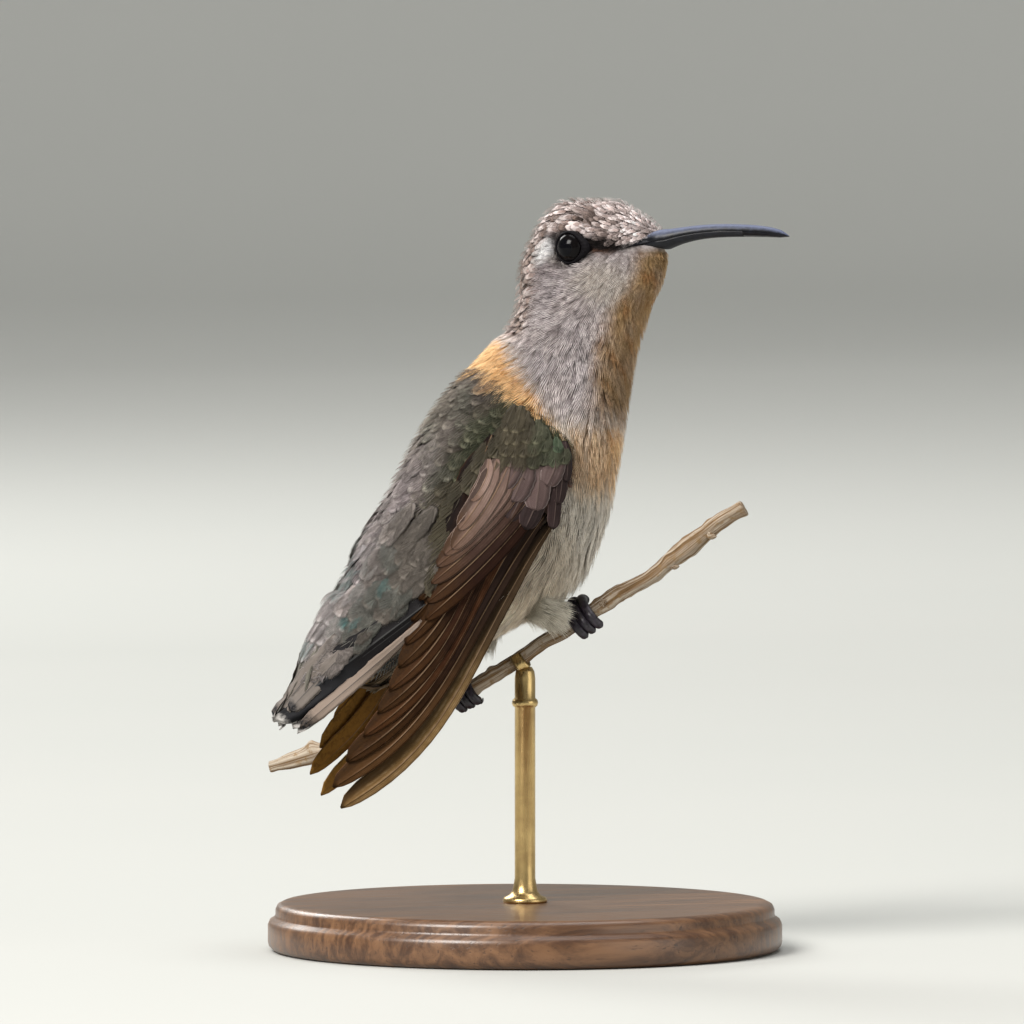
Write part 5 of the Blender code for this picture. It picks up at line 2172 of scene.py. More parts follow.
@dataclass
class Tail:
    """Ten tail feathers under their coverts."""

    marks: Landmarks
    home: Callable[[Array], Array]
    seed: int = 47
    pitch: float = math.radians(54.0)
    covert_top: tuple = (-10.0, 40.3)
    covert_end: tuple = (-21.6, 30.0)
    covert_rows: tuple = (11, 11, 10, 10, 9)

    def build(self) -> None:
        """Make the tail."""
        rng = np.random.default_rng(self.seed)
        axis = np.array([-math.cos(self.pitch), 0.0, -math.sin(self.pitch)])
        back = np.array([-math.sin(self.pitch), 0.0, math.cos(self.pitch)])
        top = Plane(axis, np.array([0.0, -1.0, 0.0]), -back)
        under = Plane(axis, np.array([0.0, 1.0, 0.0]), back)
        ground = Ground(trace(("tail", "rump")))
        blade = vane_shape(26, self.outline, ragged=0.06, thick=0.03,
                           columns=(-0.5, -0.3, -0.04, 0.0, 0.04, 0.3, 0.5), ridge=0.03,
                           camber=0.05)
        plain = QuillFinish("tail_vanes", band_tone=(0.012, 0.012, 0.014), band_start=0.90,
                            shaft_tone=(0.05, 0.05, 0.05), edge=0.9)
        tipped = QuillFinish("tail_vanes_tipped", band_tone=(0.010, 0.010, 0.012),
                             band_start=0.50, tip_tone=(0.42, 0.40, 0.38), tip_start=0.962,
                             shaft_tone=(0.06, 0.06, 0.06), edge=0.9)
        side_plane = Plane(self.marks.fore_axis, UPWARD, self.marks.deep_axis)
        flank = Ground(trace(("tail", "rump", "belly", "primaries_right", "wing_right")))
        for finish, pairs, name, nodes, edges in (
                (tipped, (4, 3, 2), "outer_tail", ("tail",), self.outer_edges()),
                (plain, (1, 0), "middle_tail", (), self.middle_edges())):
            quills = [self.feather(k, sign) for k in pairs for sign in (1, -1)]
            batch = lay_quills(quills, top, ground, blade, self.home, 1.0, 0.0, 27)
            near = lay_quills(edges, side_plane, ground, blade, self.home, 1.0, 0.0, 27)
            far = mirrored(near, np.zeros(3), self.home)
            Coat(finish.build(), "tail_feathers").publish(name, [batch, near, far], rng, nodes)
        self.build_coverts(rng, top, under, ground)
        self.build_side_coverts(rng, side_plane, flank)

    @staticmethod
    def loosened(batch: Tufts, rng: np.random.Generator) -> Tufts:
        """Many fine barbs over a batch of coverts."""
        return fringed(batch, fan_shape(18, 0.034), 0.08, rng)

    @staticmethod
    def outline(t: float) -> float:
        """Width of a tail feather along its length."""
        end = max(0.0, 1 - max(0.0, (t - 0.84) / 0.16) ** 2.0) ** 0.5
        return max(min(1.0, 0.55 + t) * end, 0.05)

    @staticmethod
    def feather(pair: int, sign: int) -> Quill:
        """Tail feather of a pair, 0 for the middle one, on one side."""
        tip = (-5.2, -4.6, -4.1, -3.8, -3.6)[pair]
        out = (0.75, 1.25, 1.75, 2.3, 2.8)[pair]
        root = (0.6, 1.6, 2.5, 3.4, 4.2)[pair]
        heart = tone(104, 100, 92) if pair < 2 else tone(120, 112, 106)
        return Quill((-17.5, sign * root * 0.8), (tip, sign * out), 3.3 - 0.15 * pair,
                     -0.08 - 0.13 * pair, 0.0, tone(150, 146, 134), heart)

    @staticmethod
    def outer_edges() -> list[Quill]:
        """Black feathers seen edge on under the coverts."""
        black = tone(22, 20, 22)
        return [Quill((-10.3, 37.1), (-26.3, 25.0), 4.2, 0.16, 0.0, black, black),
                Quill((-11.0, 36.0), (-26.0, 24.7), 3.4, 0.05, 0.0, black, black)]

    @staticmethod
    def middle_edges() -> list[Quill]:
        """Grey-green middle feathers and the outermost pale one, seen from the side."""
        rim, heart, pale = tone(152, 142, 134), tone(112, 104, 98), tone(136, 121, 110)
        return [Quill((-10.6, 35.2), (-23.5, 24.1), 1.6, 0.42, 0.15, pale * 1.15, pale),
                Quill((-19.4, 33.6), (-26.2, 24.9), 2.6, 0.26, 0.0, rim, heart),
                Quill((-18.6, 32.2), (-24.6, 25.9), 2.2, 0.30, 0.0, rim, heart)]

    @staticmethod
    def inboard(spot: Array) -> float:
        """Distance of a place on the plate plane from the rump's dorsal outline."""
        line = ((28.4, -24.7), (31.2, -23.1), (34.4, -22.1), (38.1, -19.7), (43.1, -17.9))
        return float(spot[0] - level(line, spot[1]))

    def build_side_coverts(self, rng: np.random.Generator, plane: Plane, ground: Ground) -> None:
        """Large soft coverts down each side of the rump, over the wing's inner edge."""
        shape = vane_shape(12, Wings.covert_outline, ragged=0.12, thick=0.02,
                           columns=SOFT_COLUMNS, camber=0.03)
        top, end = np.array(self.covert_top), np.array(self.covert_end)
        inner = np.array([-0.66, 0.75])
        rows = []
        for row, count in enumerate(self.covert_rows):
            for k in range(count):
                f = (k + 0.5 * (row % 2) + rng.uniform(-0.35, 0.35)) / (count - 0.5)
                tip = blend(end, top, f) + inner * (1.3 * row + rng.uniform(-0.45, 0.25))
                way = np.array([-0.56, -0.83]) + rng.uniform(-0.14, 0.14, 2)
                root = tip - way * rng.uniform(4.2, 5.2)
                if min(self.inboard(tip), self.inboard(root)) < 1.6:
                    continue
                shade = rng.uniform(0.92, 1.06)
                light = step(4.6, 0.6, np.array(self.inboard(tip)))
                teal = 0.85 * (row == 1 and k in (2, 6)) + 0.25 * (rng.random() < 0.25)
                heart = blend(tone(104, 97, 90), tone(172, 161, 158), light)
                heart = blend(heart, tone(84, 118, 116), teal)
                rim = blend(tone(128, 120, 112), tone(198, 188, 186), light)
                rows.append(Quill(tuple(root), tuple(tip), rng.uniform(2.2, 3.2),
                                  0.28 - 0.05 * row + 0.01 * k, 0.1, rim * shade, heart * shade,
                                  sink=0.45))
        near = lay_quills(rows, plane, ground, shape, self.home, 1.0, 0.0, 15, True)
        loose = self.loosened(near, rng)
        low = [q for q in rows if min(self.inboard(q.tip), self.inboard(q.root)) > 3.6]
        far = mirrored(lay_quills(low, plane, ground, shape, self.home, 1.0, 0.0, 15, True),
                       np.zeros(3), self.home)
        finish = PlumageFinish("rump_side_feathers", barb_count=26.0, barb_slant=1.5,
                               barb_depth=0.55, heart_size=0.7, shaft=0.05).build()
        Coat(finish, "back_feathers").publish("rump_side_feathers",
                                              [near, loose, far, self.loosened(far, rng)], rng)

    def build_coverts(self, rng: np.random.Generator, top: Plane, under: Plane,
                      ground: Ground) -> None:
        """Rows of coverts over and under the tail's root."""
        shape = vane_shape(10, Wings.covert_outline, ragged=0.14, thick=0.03,
                           columns=SOFT_COLUMNS, camber=0.08)
        rows: list[Quill] = []
        for row in range(4):
            start = -12.0 - 2.2 * row
            count = 3 + row % 2
            for k in range(count):
                place = (k - (count - 1) / 2) / (count / 2)
                half = 2.6 + 0.3 * row
                shade = rng.uniform(0.88, 1.12)
                heart = tone(118, 134, 132) if rng.random() < 0.12 else tone(148, 141, 140)
                rows.append(Quill((start - 3.2, place * half), (start + 2.2, place * (half - 0.2)),
                                  2.8, 0.06 + 0.04 * row, 0.0, tone(190, 182, 181) * shade,
                                  heart * shade, sink=0.7))
        over = lay_quills(rows, top, ground, shape, self.home, 1.0, 0.0, 13, True)
        beneath: list[Quill] = []
        for row in range(4):
            start = -12.5 - 2.2 * row
            for k in range(5):
                place = (k - 2) / 2.5
                beneath.append(Quill((start - 3.0, place * 1.9), (start + 2.6, place * 1.7), 2.0,
                                     0.10 + 0.09 * row, 0.0, tone(168, 150, 124),
                                     tone(108, 90, 68) * rng.uniform(0.9, 1.1)))
        low = lay_quills(beneath, under, ground, shape, self.home, 1.0, 0.0, 13)
        finish = PlumageFinish("tail_coverts", barb_count=26.0, barb_slant=1.5, barb_depth=0.35,
                               heart_size=0.7, shaft=0.05).build()
        Coat(finish, "tail_feathers").publish("tail_coverts",
                                              [over, self.loosened(over, rng), low], rng)


# ------------------------------------------------------------------ head details
@dataclass
class Bill:
    """Both halves of the closed, slightly curved bill."""

    marks: Landmarks
    skin: Ground
    sides: int = 32
    stations: int = 56
    slit: float = 0.012
    seam_share: float = 0.52
    gape: float = 6.1
    gape_height: float = 73.75
    knots: int = 16                 # places where the CAD bill is measured
    degree: int = 5                 # of the curves through them
    root_stations: int = 22

    def build(self) -> None:
        """Make the two halves."""
        m = self.marks
        tip = float((m.bill_tip - m.head) @ m.forward)
        knots = np.linspace(m.bill_start + 1.0, tip - 0.9, self.knots)
        rows = np.array([self.measure(f) for f in knots])
        face = m.bill_start + 0.8
        reach = np.concatenate([np.linspace(self.gape, face, self.root_stations, endpoint=False),
                                np.linspace(face, tip, self.stations)])
        held = np.clip(reach, knots[0], tip)
        upper, lower, half = (np.polyval(np.polyfit(knots, row, self.degree), held)
                              for row in rows.T)
        seam = blend(upper, lower, self.seam_share)
        root = step(knots[0], self.gape, reach)
        seam = blend(seam, self.gape_height, root)
        upper = blend(upper, seam + 0.22, root)
        lower = blend(lower, seam - 0.24, root)
        side = np.array([self.face_width(f, z) for f, z in zip(reach, seam)])
        half = np.where(reach < knots[0], np.maximum(half, side + 0.34), half)
        half = evened(half, 3)
        close = np.clip((tip - reach) / 1.1, 0.0, 1.0) ** 0.5
        upper, lower = seam + (upper - seam) * close, seam + (lower - seam) * close
        half = half * close
        for name, edge, turn, node in (("bill_top", upper, 1, "bill_upper"),
                                       ("bill_bottom", lower, -1, "bill_lower")):
            bm = self.half_bill(reach, seam, edge, half * (1.0 if turn > 0 else 0.97), turn)
            # Only the upper half gets the painted blue-grey sheen along its top.
            horn = HornFinish(f"{name}_horn", (0.0028, 0.0030, 0.0050), (0.006, 0.007, 0.012),
                              0.40, top_sheen=0.85 if turn > 0 else 0.0)
            publish_bmesh(name, bm, horn.build(), "bill_horn", (node,))

    def face_width(self, forward: float, z: float) -> float:
        """Half width of the face's skin at a place, or 0 beyond it."""
        m = self.marks
        at = m.head + m.forward * forward
        spot = self.skin.hit(np.array([at[0], at[1], z]) + m.out * 12, -m.out)
        return float(np.nan_to_num(np.dot(spot - at, m.out)))

    def measure(self, forward: float) -> tuple[float, float, float]:
        """Top, bottom and half width of the CAD bill at a distance forward."""
        m = self.marks
        at = m.head + m.forward * forward
        top = m.bill.hit(at + UPWARD * 20, -UPWARD)[2]
        bottom = m.bill.hit(at * np.array([1, 1, 0]) + UPWARD * 40, UPWARD)[2]
        core = np.array([at[0], at[1], (top + bottom) / 2 + 0.12])
        half = abs(np.dot(m.bill.hit(core + m.out * 10, -m.out) - core, m.out))
        return float(top), float(bottom), float(np.nan_to_num(half, nan=0.2))

    def half_bill(self, reach: Array, seam: Array, edge: Array, half: Array,
                  turn: int) -> bmesh.types.BMesh:
        """One half as an extruded half-round section.

        Args:
            reach: distance forward of each station.
            seam: height of the cutting edge.
            edge: height of the outer edge.
            half: half width.
            turn: 1 for the upper half and -1 for the lower.

        Returns:
            The closed half.
        """
        m = self.marks
        path = m.head[None] + m.forward[None] * reach[:, None]
        path[:, 2] = seam
        rise = np.maximum(np.abs(edge - seam), 0.02)
        wide = np.maximum(half, 0.02)
        lip = 0.10

        def radius(k: int, a: float) -> float:
            """Radius of the section at an angle from straight up."""
            c, s = math.cos(a) * turn, math.sin(a)
            if c <= lip:
                inward = min(1.0, (lip - c) / 0.25) * 0.5
                return wide[k] * (1.0 - inward * abs(s) ** 8 * 0.12) if c > -0.3 else wide[k] * 0.9
            return ((abs(s) / wide[k]) ** 2.1 + (c / rise[k]) ** 2.1) ** (-1 / 2.1)

        bm = tube(path, radius, self.sides, up=UPWARD)
        for v in bm.verts:
            k = int(np.argmin(np.abs((np.array(v.co[:]) - m.head) @ m.forward - reach)))
            limit = seam[k] + turn * self.slit
            if (v.co.z - limit) * turn < 0:
                v.co.z = limit
        return bm


@dataclass
class Eyes:
    """Glossy eyeballs in beaded lids."""

    marks: Landmarks
    segments: int = 64
    lid_inner: float = 1.47
    lid_outer: float = 1.76
    beads: int = 34

    def build(self) -> None:
        """Make both eyes."""
        glass = EyeFinish().build()
        skin = HornFinish("lid_skin", (0.003, 0.0025, 0.003), (0.009, 0.008, 0.010), 0.62, 6.0,
                          gloss=0.06).build()
        for side in Side:
            place = self.turned(side)
            self.ball(side, place, glass)
            self.lid(side, place, skin)

    def turned(self, side: Side) -> Matrix:
        """Matrix whose z axis looks out of the head and whose x axis points forward."""
        out = Vector(self.marks.out * side.sign)
        forward = Vector(self.marks.forward)
        up = out.cross(forward)
        turn = Matrix((forward, up, out)).transposed().to_4x4()
        return Matrix.Translation(Vector(self.marks.eye[side])) @ turn

    def ball(self, side: Side, place: Matrix, material: bpy.types.Material) -> None:
        """Eyeball with a slightly raised cornea."""
        bm = bmesh.new()
        layer = bm.loops.layers.uv.new("Vane")
        bmesh.ops.create_uvsphere(bm, u_segments=self.segments, v_segments=44,
                                  radius=self.marks.eye_radius)
        for v in bm.verts:
            away = math.acos(max(-1.0, min(1.0, v.co.z / self.marks.eye_radius)))
            v.co *= 1 + 0.02 * max(0.0, math.cos(away * 1.3)) if away < 1.2 else 1.0
        for f in bm.faces:
            for loop in f.loops:
                co = loop.vert.co
                away = math.acos(max(-1.0, min(1.0, co.z / co.length)))
                loop[layer].uv = (0.5 + math.atan2(co.y, co.x) / (2 * math.pi), away / math.pi * 2)
        bmesh.ops.transform(bm, matrix=place, verts=bm.verts)
        publish_bmesh(f"eyeball_{side.value}", bm, material, "eye_gloss",
                      (f"eye_{side.value}",))

    def lid(self, side: Side, place: Matrix, material: bpy.types.Material) -> None:
        """Beaded ring of bare skin, drawn out to a point in front."""
        radius = self.marks.eye_radius
        inner, outer = self.lid_inner, self.lid_outer
        edge = math.sqrt(radius ** 2 - inner ** 2)
        profile = ((inner, edge - 0.25), (inner + 0.01, edge + 0.02), (inner + 0.10, edge + 0.10),
                   (inner + 0.20, edge + 0.07), (inner + 0.30, edge - 0.06),
                   (outer, edge - 0.35), (outer - 0.08, edge - 0.75), (inner + 0.1, edge - 0.6))
        bm = bmesh.new()
        verts = [bm.verts.new((r, 0, z)) for r, z in profile]
        edges = [bm.edges.new((a, b)) for a, b in zip(verts, verts[1:] + verts[:1])]
        bmesh.ops.spin(bm, geom=verts + edges, cent=(0, 0, 0), axis=(0, 0, 1),
                       angle=2 * math.pi, steps=self.beads * 6, use_merge=True)
        bmesh.ops.remove_doubles(bm, verts=bm.verts, dist=1e-5)
        for v in bm.verts:
            r, a = math.hypot(v.co.x, v.co.y), math.atan2(v.co.y, v.co.x)
            point = max(0.0, math.cos(a)) ** 9
            share = (r - inner) / (outer - inner)
            bead = 0.5 + 0.5 * math.cos(a * self.beads)
            wide = r + 0.16 * point + share * (0.62 * point)
            v.co.z += 0.05 * bead * math.exp(-((share - 0.35) / 0.25) ** 2) - 0.12 * point * share
            v.co.x, v.co.y = wide * math.cos(a), wide * math.sin(a)
        bmesh.ops.transform(bm, matrix=place, verts=bm.verts)
        publish_bmesh(f"lid_{side.value}", bm, material, "head_feathers")


# ------------------------------------------------------------------ perch and legs
@dataclass
class Perch:
    """Short cut length of knobbly twig."""

    radius: float = 0.80
    sides: int = 40
    rows: int = 300
    cells: int = 29                 # lengths of the CAD twig whose middles give its line
    small_knots: int = 26
    big_knots: tuple = ((0.05, 1.2, 0.55), (0.075, 4.0, 0.50), (0.11, 2.4, 0.45))
    bud_places: tuple = (0.10, 0.235, 0.69, 0.845, 0.93)
    bud_radii: tuple = (0.46, 0.48, 0.46, 0.42, 0.38, 0.32, 0.24, 0.15, 0.05)

    def __post_init__(self) -> None:
        """Find the twig's middle line from the CAD node."""
        points = np.array(sorted({tuple(round(c / MM, 3) for c in v.co)
                                  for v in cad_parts["perch"].data.vertices}))
        center = points.mean(axis=0)
        way = np.linalg.svd(points - center, full_matrices=False)[2][0]
        reach = (points - center) @ (way if way[0] > 0 else -way)
        cells = np.linspace(reach.min(), reach.max(), self.cells + 1)
        rows = []
        for low, high in zip(cells, cells[1:]):
            inside = points[(reach >= low - 0.01) & (reach <= high + 0.01)]
            if len(inside) >= 8:
                rows.append(inside.mean(axis=0))
        first = points[reach < reach.min() + 0.5].mean(axis=0)
        last = points[reach > reach.max() - 0.5].mean(axis=0)
        self.line = smooth_path(np.array([first, *rows[1:-1], last]), self.rows)

    def at(self, place: Array) -> tuple[Array, Array, Array, Array]:
        """Middle, direction, up and outward axes of the twig nearest to a place."""
        k = int(np.argmin(np.linalg.norm(self.line - place, axis=1)))
        ahead = unit(self.line[min(k + 6, self.rows - 1)] - self.line[max(k - 6, 0)])
        up = unit(UPWARD - ahead * ahead[2])
        return self.line[k], ahead, up, np.cross(ahead, up)

    def build(self) -> None:
        """Make the twig with its knobs, buds and sawn ends."""
        rng = np.random.default_rng(5)
        knots = [(rng.uniform(0, 1), rng.uniform(0, 2 * math.pi), rng.uniform(0.12, 0.34))
                 for _ in range(self.small_knots)] + list(self.big_knots)
        phases = rng.uniform(0, 2 * math.pi, (5, 2))

        def radius(k: int, a: float) -> float:
            """Radius with ridges, wrinkles and small knots."""
            f = k / (self.rows - 1)
            r = float(np.clip(self.widths[k], 0.6, 1.3))
            r *= 1 + 0.065 * math.sin(3 * a + 9 * f + phases[0, 0]) \
                + 0.045 * math.sin(5 * a - 21 * f + phases[1, 0]) \
                + 0.020 * math.sin(9 * a + 160 * f + phases[2, 0]) \
                + 0.015 * math.sin(240 * f + 4 * math.sin(2 * a + phases[3, 0]))
            for place, angle, height in knots:
                gap = ((f - place) / 0.010) ** 2
                turn = (math.cos(a - angle) - 1) * 3.0
                r += height * math.exp(-gap + turn)
            return r

        self.widths = self.measure(Ground(trace(("perch",))))
        bm = tube(self.line, radius, self.sides)
        publish_bmesh("twig", bm, BarkFinish().build(), "twig_bark", ("perch",))
        self.buds(rng)

    def measure(self, ground: Ground) -> Array:
        """Mean radius of the CAD twig along its line."""
        found = []
        for k in range(0, self.rows, 6):
            here = self.line[k]
            _, _, up, out = self.at(here)
            reaches = []
            for a in np.linspace(0, 2 * math.pi, 6, endpoint=False):
                way = up * math.cos(a) + out * math.sin(a)
                reaches.append(np.linalg.norm(ground.hit(here + way * 5, -way) - here))
            hit = [reach for reach in reaches if not np.isnan(reach)]
            found.append(np.mean(hit) if hit else self.radius)
        return np.interp(np.arange(self.rows), np.arange(0, self.rows, 6), found)

    def buds(self, rng: np.random.Generator) -> None:
        """Dormant buds and leaf scars at the nodes."""
        whole = mapped_bmesh()
        for f in self.bud_places:
            k = int(f * (self.rows - 1))
            here, ahead, up, out = self.at(self.line[k])
            angle = rng.uniform(-0.6, 2.6)
            way = up * math.cos(angle) + out * math.sin(angle)
            tip = here + way * (self.widths[k] + 0.75) + ahead * 0.55
            path = smooth_path(np.array([here + way * (self.widths[k] - 0.35),
                                         here + way * (self.widths[k] + 0.15), tip]), 9)
            add_to(whole, tube(path, lambda k, a: self.bud_radii[k]
                               * (1 + 0.1 * math.sin(3 * a + k)), 10))
        publish_bmesh("twig_buds", whole, BarkFinish("bud_bark").build(), "twig_bark")


@dataclass
class Legs:
    """Scaly shanks and toes that grip the twig, with their claws."""

    perch: Perch
    toe_radius: float = 0.58
    offsets: tuple = (-0.88, 0.0, 0.88)
    start: float = math.radians(118.0)
    sweep: float = math.radians(252.0)
    claw_share: float = 0.24
    stops: int = 46
    shank_stops: int = 40

    def build(self) -> None:
        """Make both legs."""
        skin = ScaleSkinFinish().build()
        horn = HornFinish("claw_horn", (0.006, 0.005, 0.007), (0.030, 0.026, 0.030), 0.28).build()
        for side in Side:
            self.foot(side, skin, horn)
            self.shank(side, skin)

    def knuckle(self, side: Side) -> Array:
        """Middle of the foot, on top of the twig."""
        here, ahead, up, _ = self.perch.at(middle(f"foot_{side.value}"))
        return here + up * (self.perch.radius + 0.3 + self.toe_radius) - ahead * 0.1

    def toe_path(self, side: Side, offset: float, turn: int, sweep: float,
                 lean: float) -> tuple[Array, Array]:
        """Middle line of a toe and its claw, and its radii."""
        here, ahead, up, out = self.perch.at(middle(f"foot_{side.value}"))
        share = np.linspace(0, 1, self.stops)[:, None]
        angle = self.start - sweep * share
        claw = np.clip((share - 1 + self.claw_share) / self.claw_share, 0.0, 1.0)
        radii = self.toe_radius * (1 - 0.2 * share)
        around = self.perch.radius + 0.28 + self.toe_radius * (1 - 0.15 * share) + 0.25 * claw
        path = here + ahead * (offset * (1 + 0.12 * share) + lean * share) \
            + out * turn * np.cos(angle) * around + up * np.sin(angle) * around
        return path, radii[:, 0]

    def foot(self, side: Side, skin: bpy.types.Material, horn: bpy.types.Material) -> None:
        """Toes with scutes, pads and claws."""
        toes, claws = mapped_bmesh(), mapped_bmesh()
        plans = [(offset, 1, self.sweep, 0.0) for offset in self.offsets]
        plans.append((0.2, -1, self.sweep * 0.62, -0.2))
        split = int(self.stops * (1 - self.claw_share)) + 1
        for plan in plans:
            path, radii = self.toe_path(side, *plan)
            flesh = path[:split + 1]

            def toe_radius(k: int, a: float) -> float:
                """Scutes on top and pads beneath, closing at the claw's root."""
                f = k / (split + 1)
                scute = 0.05 * (1 - abs(((f * 9) % 1.0) * 2 - 1)) * (0.5 + 0.5 * math.cos(a))
                pad = 0.05 * math.cos(a + math.pi) * math.sin(f * math.pi * 4) ** 2
                end = 1.0 if k < split else 0.75
                return radii[k] * (0.98 + scute + max(pad, 0.0)) * end

            up = unit(path[1] - self.perch.at(path[1])[0])
            add_to(toes, tube(flesh, toe_radius, 16, up=up))
            nail = path[split - 2:]
            size = np.linspace(1, 0, len(nail)) ** 0.75 * 0.42 + 0.015

            def claw_radius(k: int, a: float) -> float:
                """A claw flattened at its sides."""
                return size[k] * (1 - 0.22 * abs(math.sin(a)))

            add_to(claws, tube(nail, claw_radius, 12, up=up))
        ball = mapped_bmesh()
        bmesh.ops.create_uvsphere(ball, u_segments=24, v_segments=16,
                                  radius=self.toe_radius * 1.45, calc_uvs=True)
        bmesh.ops.translate(ball, vec=Vector(self.knuckle(side)), verts=ball.verts)
        add_to(toes, ball)
        publish_bmesh(f"toes_{side.value}", toes, skin, "foot_scales", (f"foot_{side.value}",))
        publish_bmesh(f"claws_{side.value}", claws, horn, "foot_scales")

    def shank(self, side: Side, skin: bpy.types.Material) -> None:
        """Thin scaly shank from the thigh feathers to the foot."""
        low = self.knuckle(side)
        top = blend(low, middle(f"thigh_{side.value}"), 0.96)
        path = smooth_path(np.array([low, blend(low, top, 0.5), top]), self.shank_stops)

        def radius(k: int, _: float) -> float:
            """Stepped scutes down the front."""
            f = k / (self.shank_stops - 1)
            return 0.46 * (1 + 0.07 * (1 - ((f * 11) % 1.0)) + 0.25 * (1 - min(f * 4, 1.0)) ** 2)

        publish_bmesh(f"tarsus_{side.value}", tube(path, radius, 14), skin, "foot_scales",
                      (f"shank_{side.value}",))


# ------------------------------------------------------------------ stand and stage
@dataclass
class Stand:
    """Turned wooden base and the rod that carries the twig."""

    perch: Perch
    steps: int = 160

    def build(self) -> None:
        """Make the base, the rod and the cup that holds the twig."""
        _, high = box_mm("stand_base")
        r, h = high[0], high[2]
        profile = ((0.0, 0.0), (r - 1.2, 0.0), (r - 0.5, 0.15), (r - 0.1, 0.55), (r, 1.0),
                   (r, h - 2.3), (r - 0.2, h - 1.8), (r - 0.7, h - 1.5), (r - 0.8, h - 1.2),
                   (r - 0.8, h - 0.7), (r - 1.0, h - 0.25), (r - 1.5, h), (r - 2.4, h),
                   (4.0, h), (0.0, h))
        publish_bmesh("base_plate", spun(profile, self.steps), WaxedWoodFinish().build(),
                      "base_wood", ("stand_base",))
        low, high = box_mm("stand_rod")
        r, top = high[0], high[2]
        rod = ((0.0, h), (2.3, h), (2.35, h + 0.25), (2.2, h + 0.55), (1.7, h + 0.75),
               (1.35, h + 1.2), (1.2, h + 1.9), (r, h + 2.6), (r, top - 4.0), (r + 0.22, top - 3.8),
               (r + 0.30, top - 3.5), (r + 0.22, top - 3.2), (r, top - 3.0), (r, top - 0.9),
               (r - 0.1, top - 0.2), (r - 0.35, top + 0.25), (0.0, top + 0.35))
        brass = BrassFinish().build()
        publish_bmesh("brass_rod", spun(rod, 64), brass, "rod_brass", ("stand_rod",))
        self.saddle(np.array([(low + high)[0] / 2, (low + high)[1] / 2, top]), brass)

    def saddle(self, place: Array, brass: bpy.types.Material) -> None:
        """Half ring of brass strip under the twig."""
        here, _, up, out = self.perch.at(place)
        reach = np.linspace(math.radians(-205.0), math.radians(25.0), 40)
        around = self.perch.radius + 0.42
        path = here + out * np.cos(reach)[:, None] * around + up * np.sin(reach)[:, None] * around
        strip = tube(path, lambda k, a: 0.14 / max(abs(math.cos(a)), abs(math.sin(a)) / 4.5, 0.2),
                     16, up=up)
        publish_bmesh("brass_saddle", strip, brass, "rod_brass")


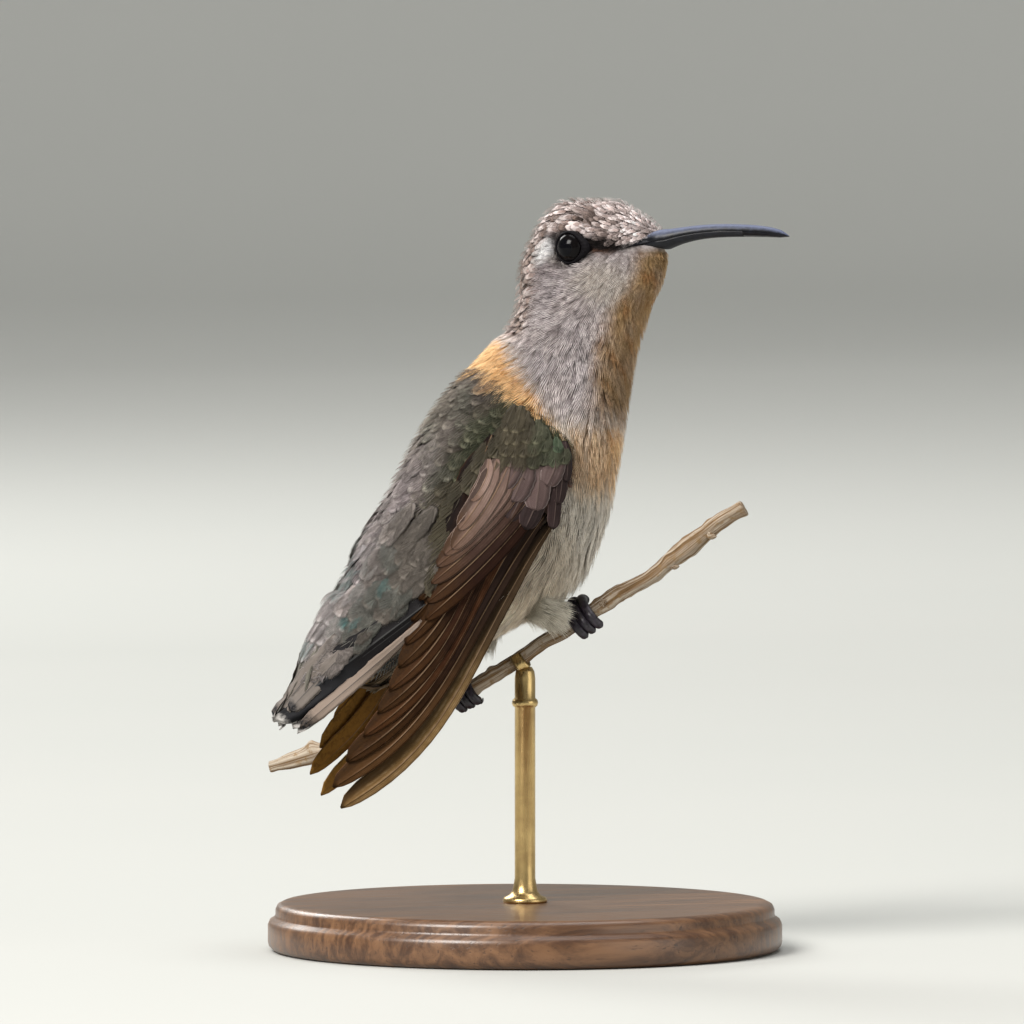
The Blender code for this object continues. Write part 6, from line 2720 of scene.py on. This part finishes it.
@dataclass
class Stage:
    """Pale floor, soft studio light and the camera."""

    azimuth: float = math.radians(20.0)
    elevation: float = math.radians(3.0)
    distance: float = 1.6
    frame_width: float = 0.1075
    target: tuple[float, float, float] = (-0.00046, 0.00273, 0.0459)
    rise_start: float = 1.85        # beyond the camera's orbit
    rise: float = 0.9

    def back(self) -> Vector:
        """Direction from the subject to the camera."""
        return Vector((-math.sin(self.azimuth) * math.cos(self.elevation),
                       -math.cos(self.azimuth) * math.cos(self.elevation),
                       math.sin(self.elevation)))

    def build(self) -> None:
        """Make floor, lights, world and camera."""
        self.floor()
        self.world()
        self.camera()
        bpy.context.scene.view_settings.view_transform = "Standard"
        for name, place, size, power, color in (
                ("key", (-0.80, -0.45, 0.80), 0.50, 20.0, (1.0, 0.97, 0.93)),
                ("fill", (0.70, -0.95, 0.35), 0.90, 3.4, (1.0, 0.98, 0.94)),
                ("rim", (-0.20, 0.85, 0.60), 0.45, 6.0, (1.0, 1.0, 0.97)),
                ("top", (0.15, 0.05, 1.10), 0.80, 7.0, (1.0, 1.0, 1.0))):
            self.light(name, place, size, power, color)

    def floor(self) -> None:
        """Large floor that rises softly far away on all sides."""
        bm = bmesh.new()
        bmesh.ops.create_grid(bm, x_segments=60, y_segments=60, size=3.0)
        reaches = [v.co.length for v in bm.verts]
        for v, reach in zip(bm.verts, reaches):
            v.co.z = self.rise * max(0.0, reach - self.rise_start) ** 2
        mesh = bpy.data.meshes.new("floor")
        bm.to_mesh(mesh)
        bm.free()
        far = mesh.attributes.new("Reach", "FLOAT", "POINT")
        far.data.foreach_set("value", [min(1.0, max(0.0, (reach - 0.5) / 0.9)) for reach in reaches])
        mesh.shade_smooth()
        mesh.materials.append(FloorFinish().build())
        floor = bpy.data.objects.new("floor", mesh)
        bpy.context.collection.objects.link(floor)

    def world(self) -> None:
        """Even pale surroundings."""
        world = bpy.data.worlds.new("studio")
        world.use_nodes = True
        ground = world.node_tree.nodes["Background"]
        ground.inputs["Color"].default_value = (0.84, 0.84, 0.82, 1.0)
        ground.inputs["Strength"].default_value = 0.30
        bpy.context.scene.world = world

    def light(self, name: str, place: tuple[float, float, float], size: float, power: float,
              color: Color) -> None:
        """Soft square lamp aimed at the bird."""
        data = bpy.data.lights.new(name, "AREA")
        data.size = size
        data.energy = power
        data.color = color
        lamp = bpy.data.objects.new(name, data)
        bpy.context.collection.objects.link(lamp)
        lamp.location = place
        aim = Vector(self.target) - Vector(place)
        lamp.rotation_euler = aim.to_track_quat("-Z", "Y").to_euler()

    def camera(self) -> None:
        """Long lens at the viewing angle."""
        data = bpy.data.cameras.new("camera")
        data.sensor_width = 36.0
        data.lens = 36.0 * self.distance / self.frame_width
        data.clip_start, data.clip_end = 0.05, 50.0
        camera = bpy.data.objects.new("camera", data)
        bpy.context.collection.objects.link(camera)
        camera.location = Vector(self.target) + self.back() * self.distance
        camera.rotation_euler = (-self.back()).to_track_quat("-Z", "Y").to_euler()
        bpy.context.scene.camera = camera


def main() -> None:
    """Build every part of the model and its stage."""
    logging.basicConfig(level=logging.INFO, format="%(message)s")
    marks = Landmarks()
    form = BodyForm(marks)
    form.build()
    Bill(marks, form.skin).build()
    Eyes(marks).build()
    perch = Perch()
    perch.build()
    Legs(perch).build()
    Stand(perch).build()
    wing = Ground(trace(("wing_right", "wing_left")))
    Wings(marks, form.home, form.outer).build()
    Tail(marks, form.home).build()
    Plumage(marks, form, Markings(marks, wing), Lie(marks)).build()
    Stage().build()


if __name__ == "__main__":
    main()
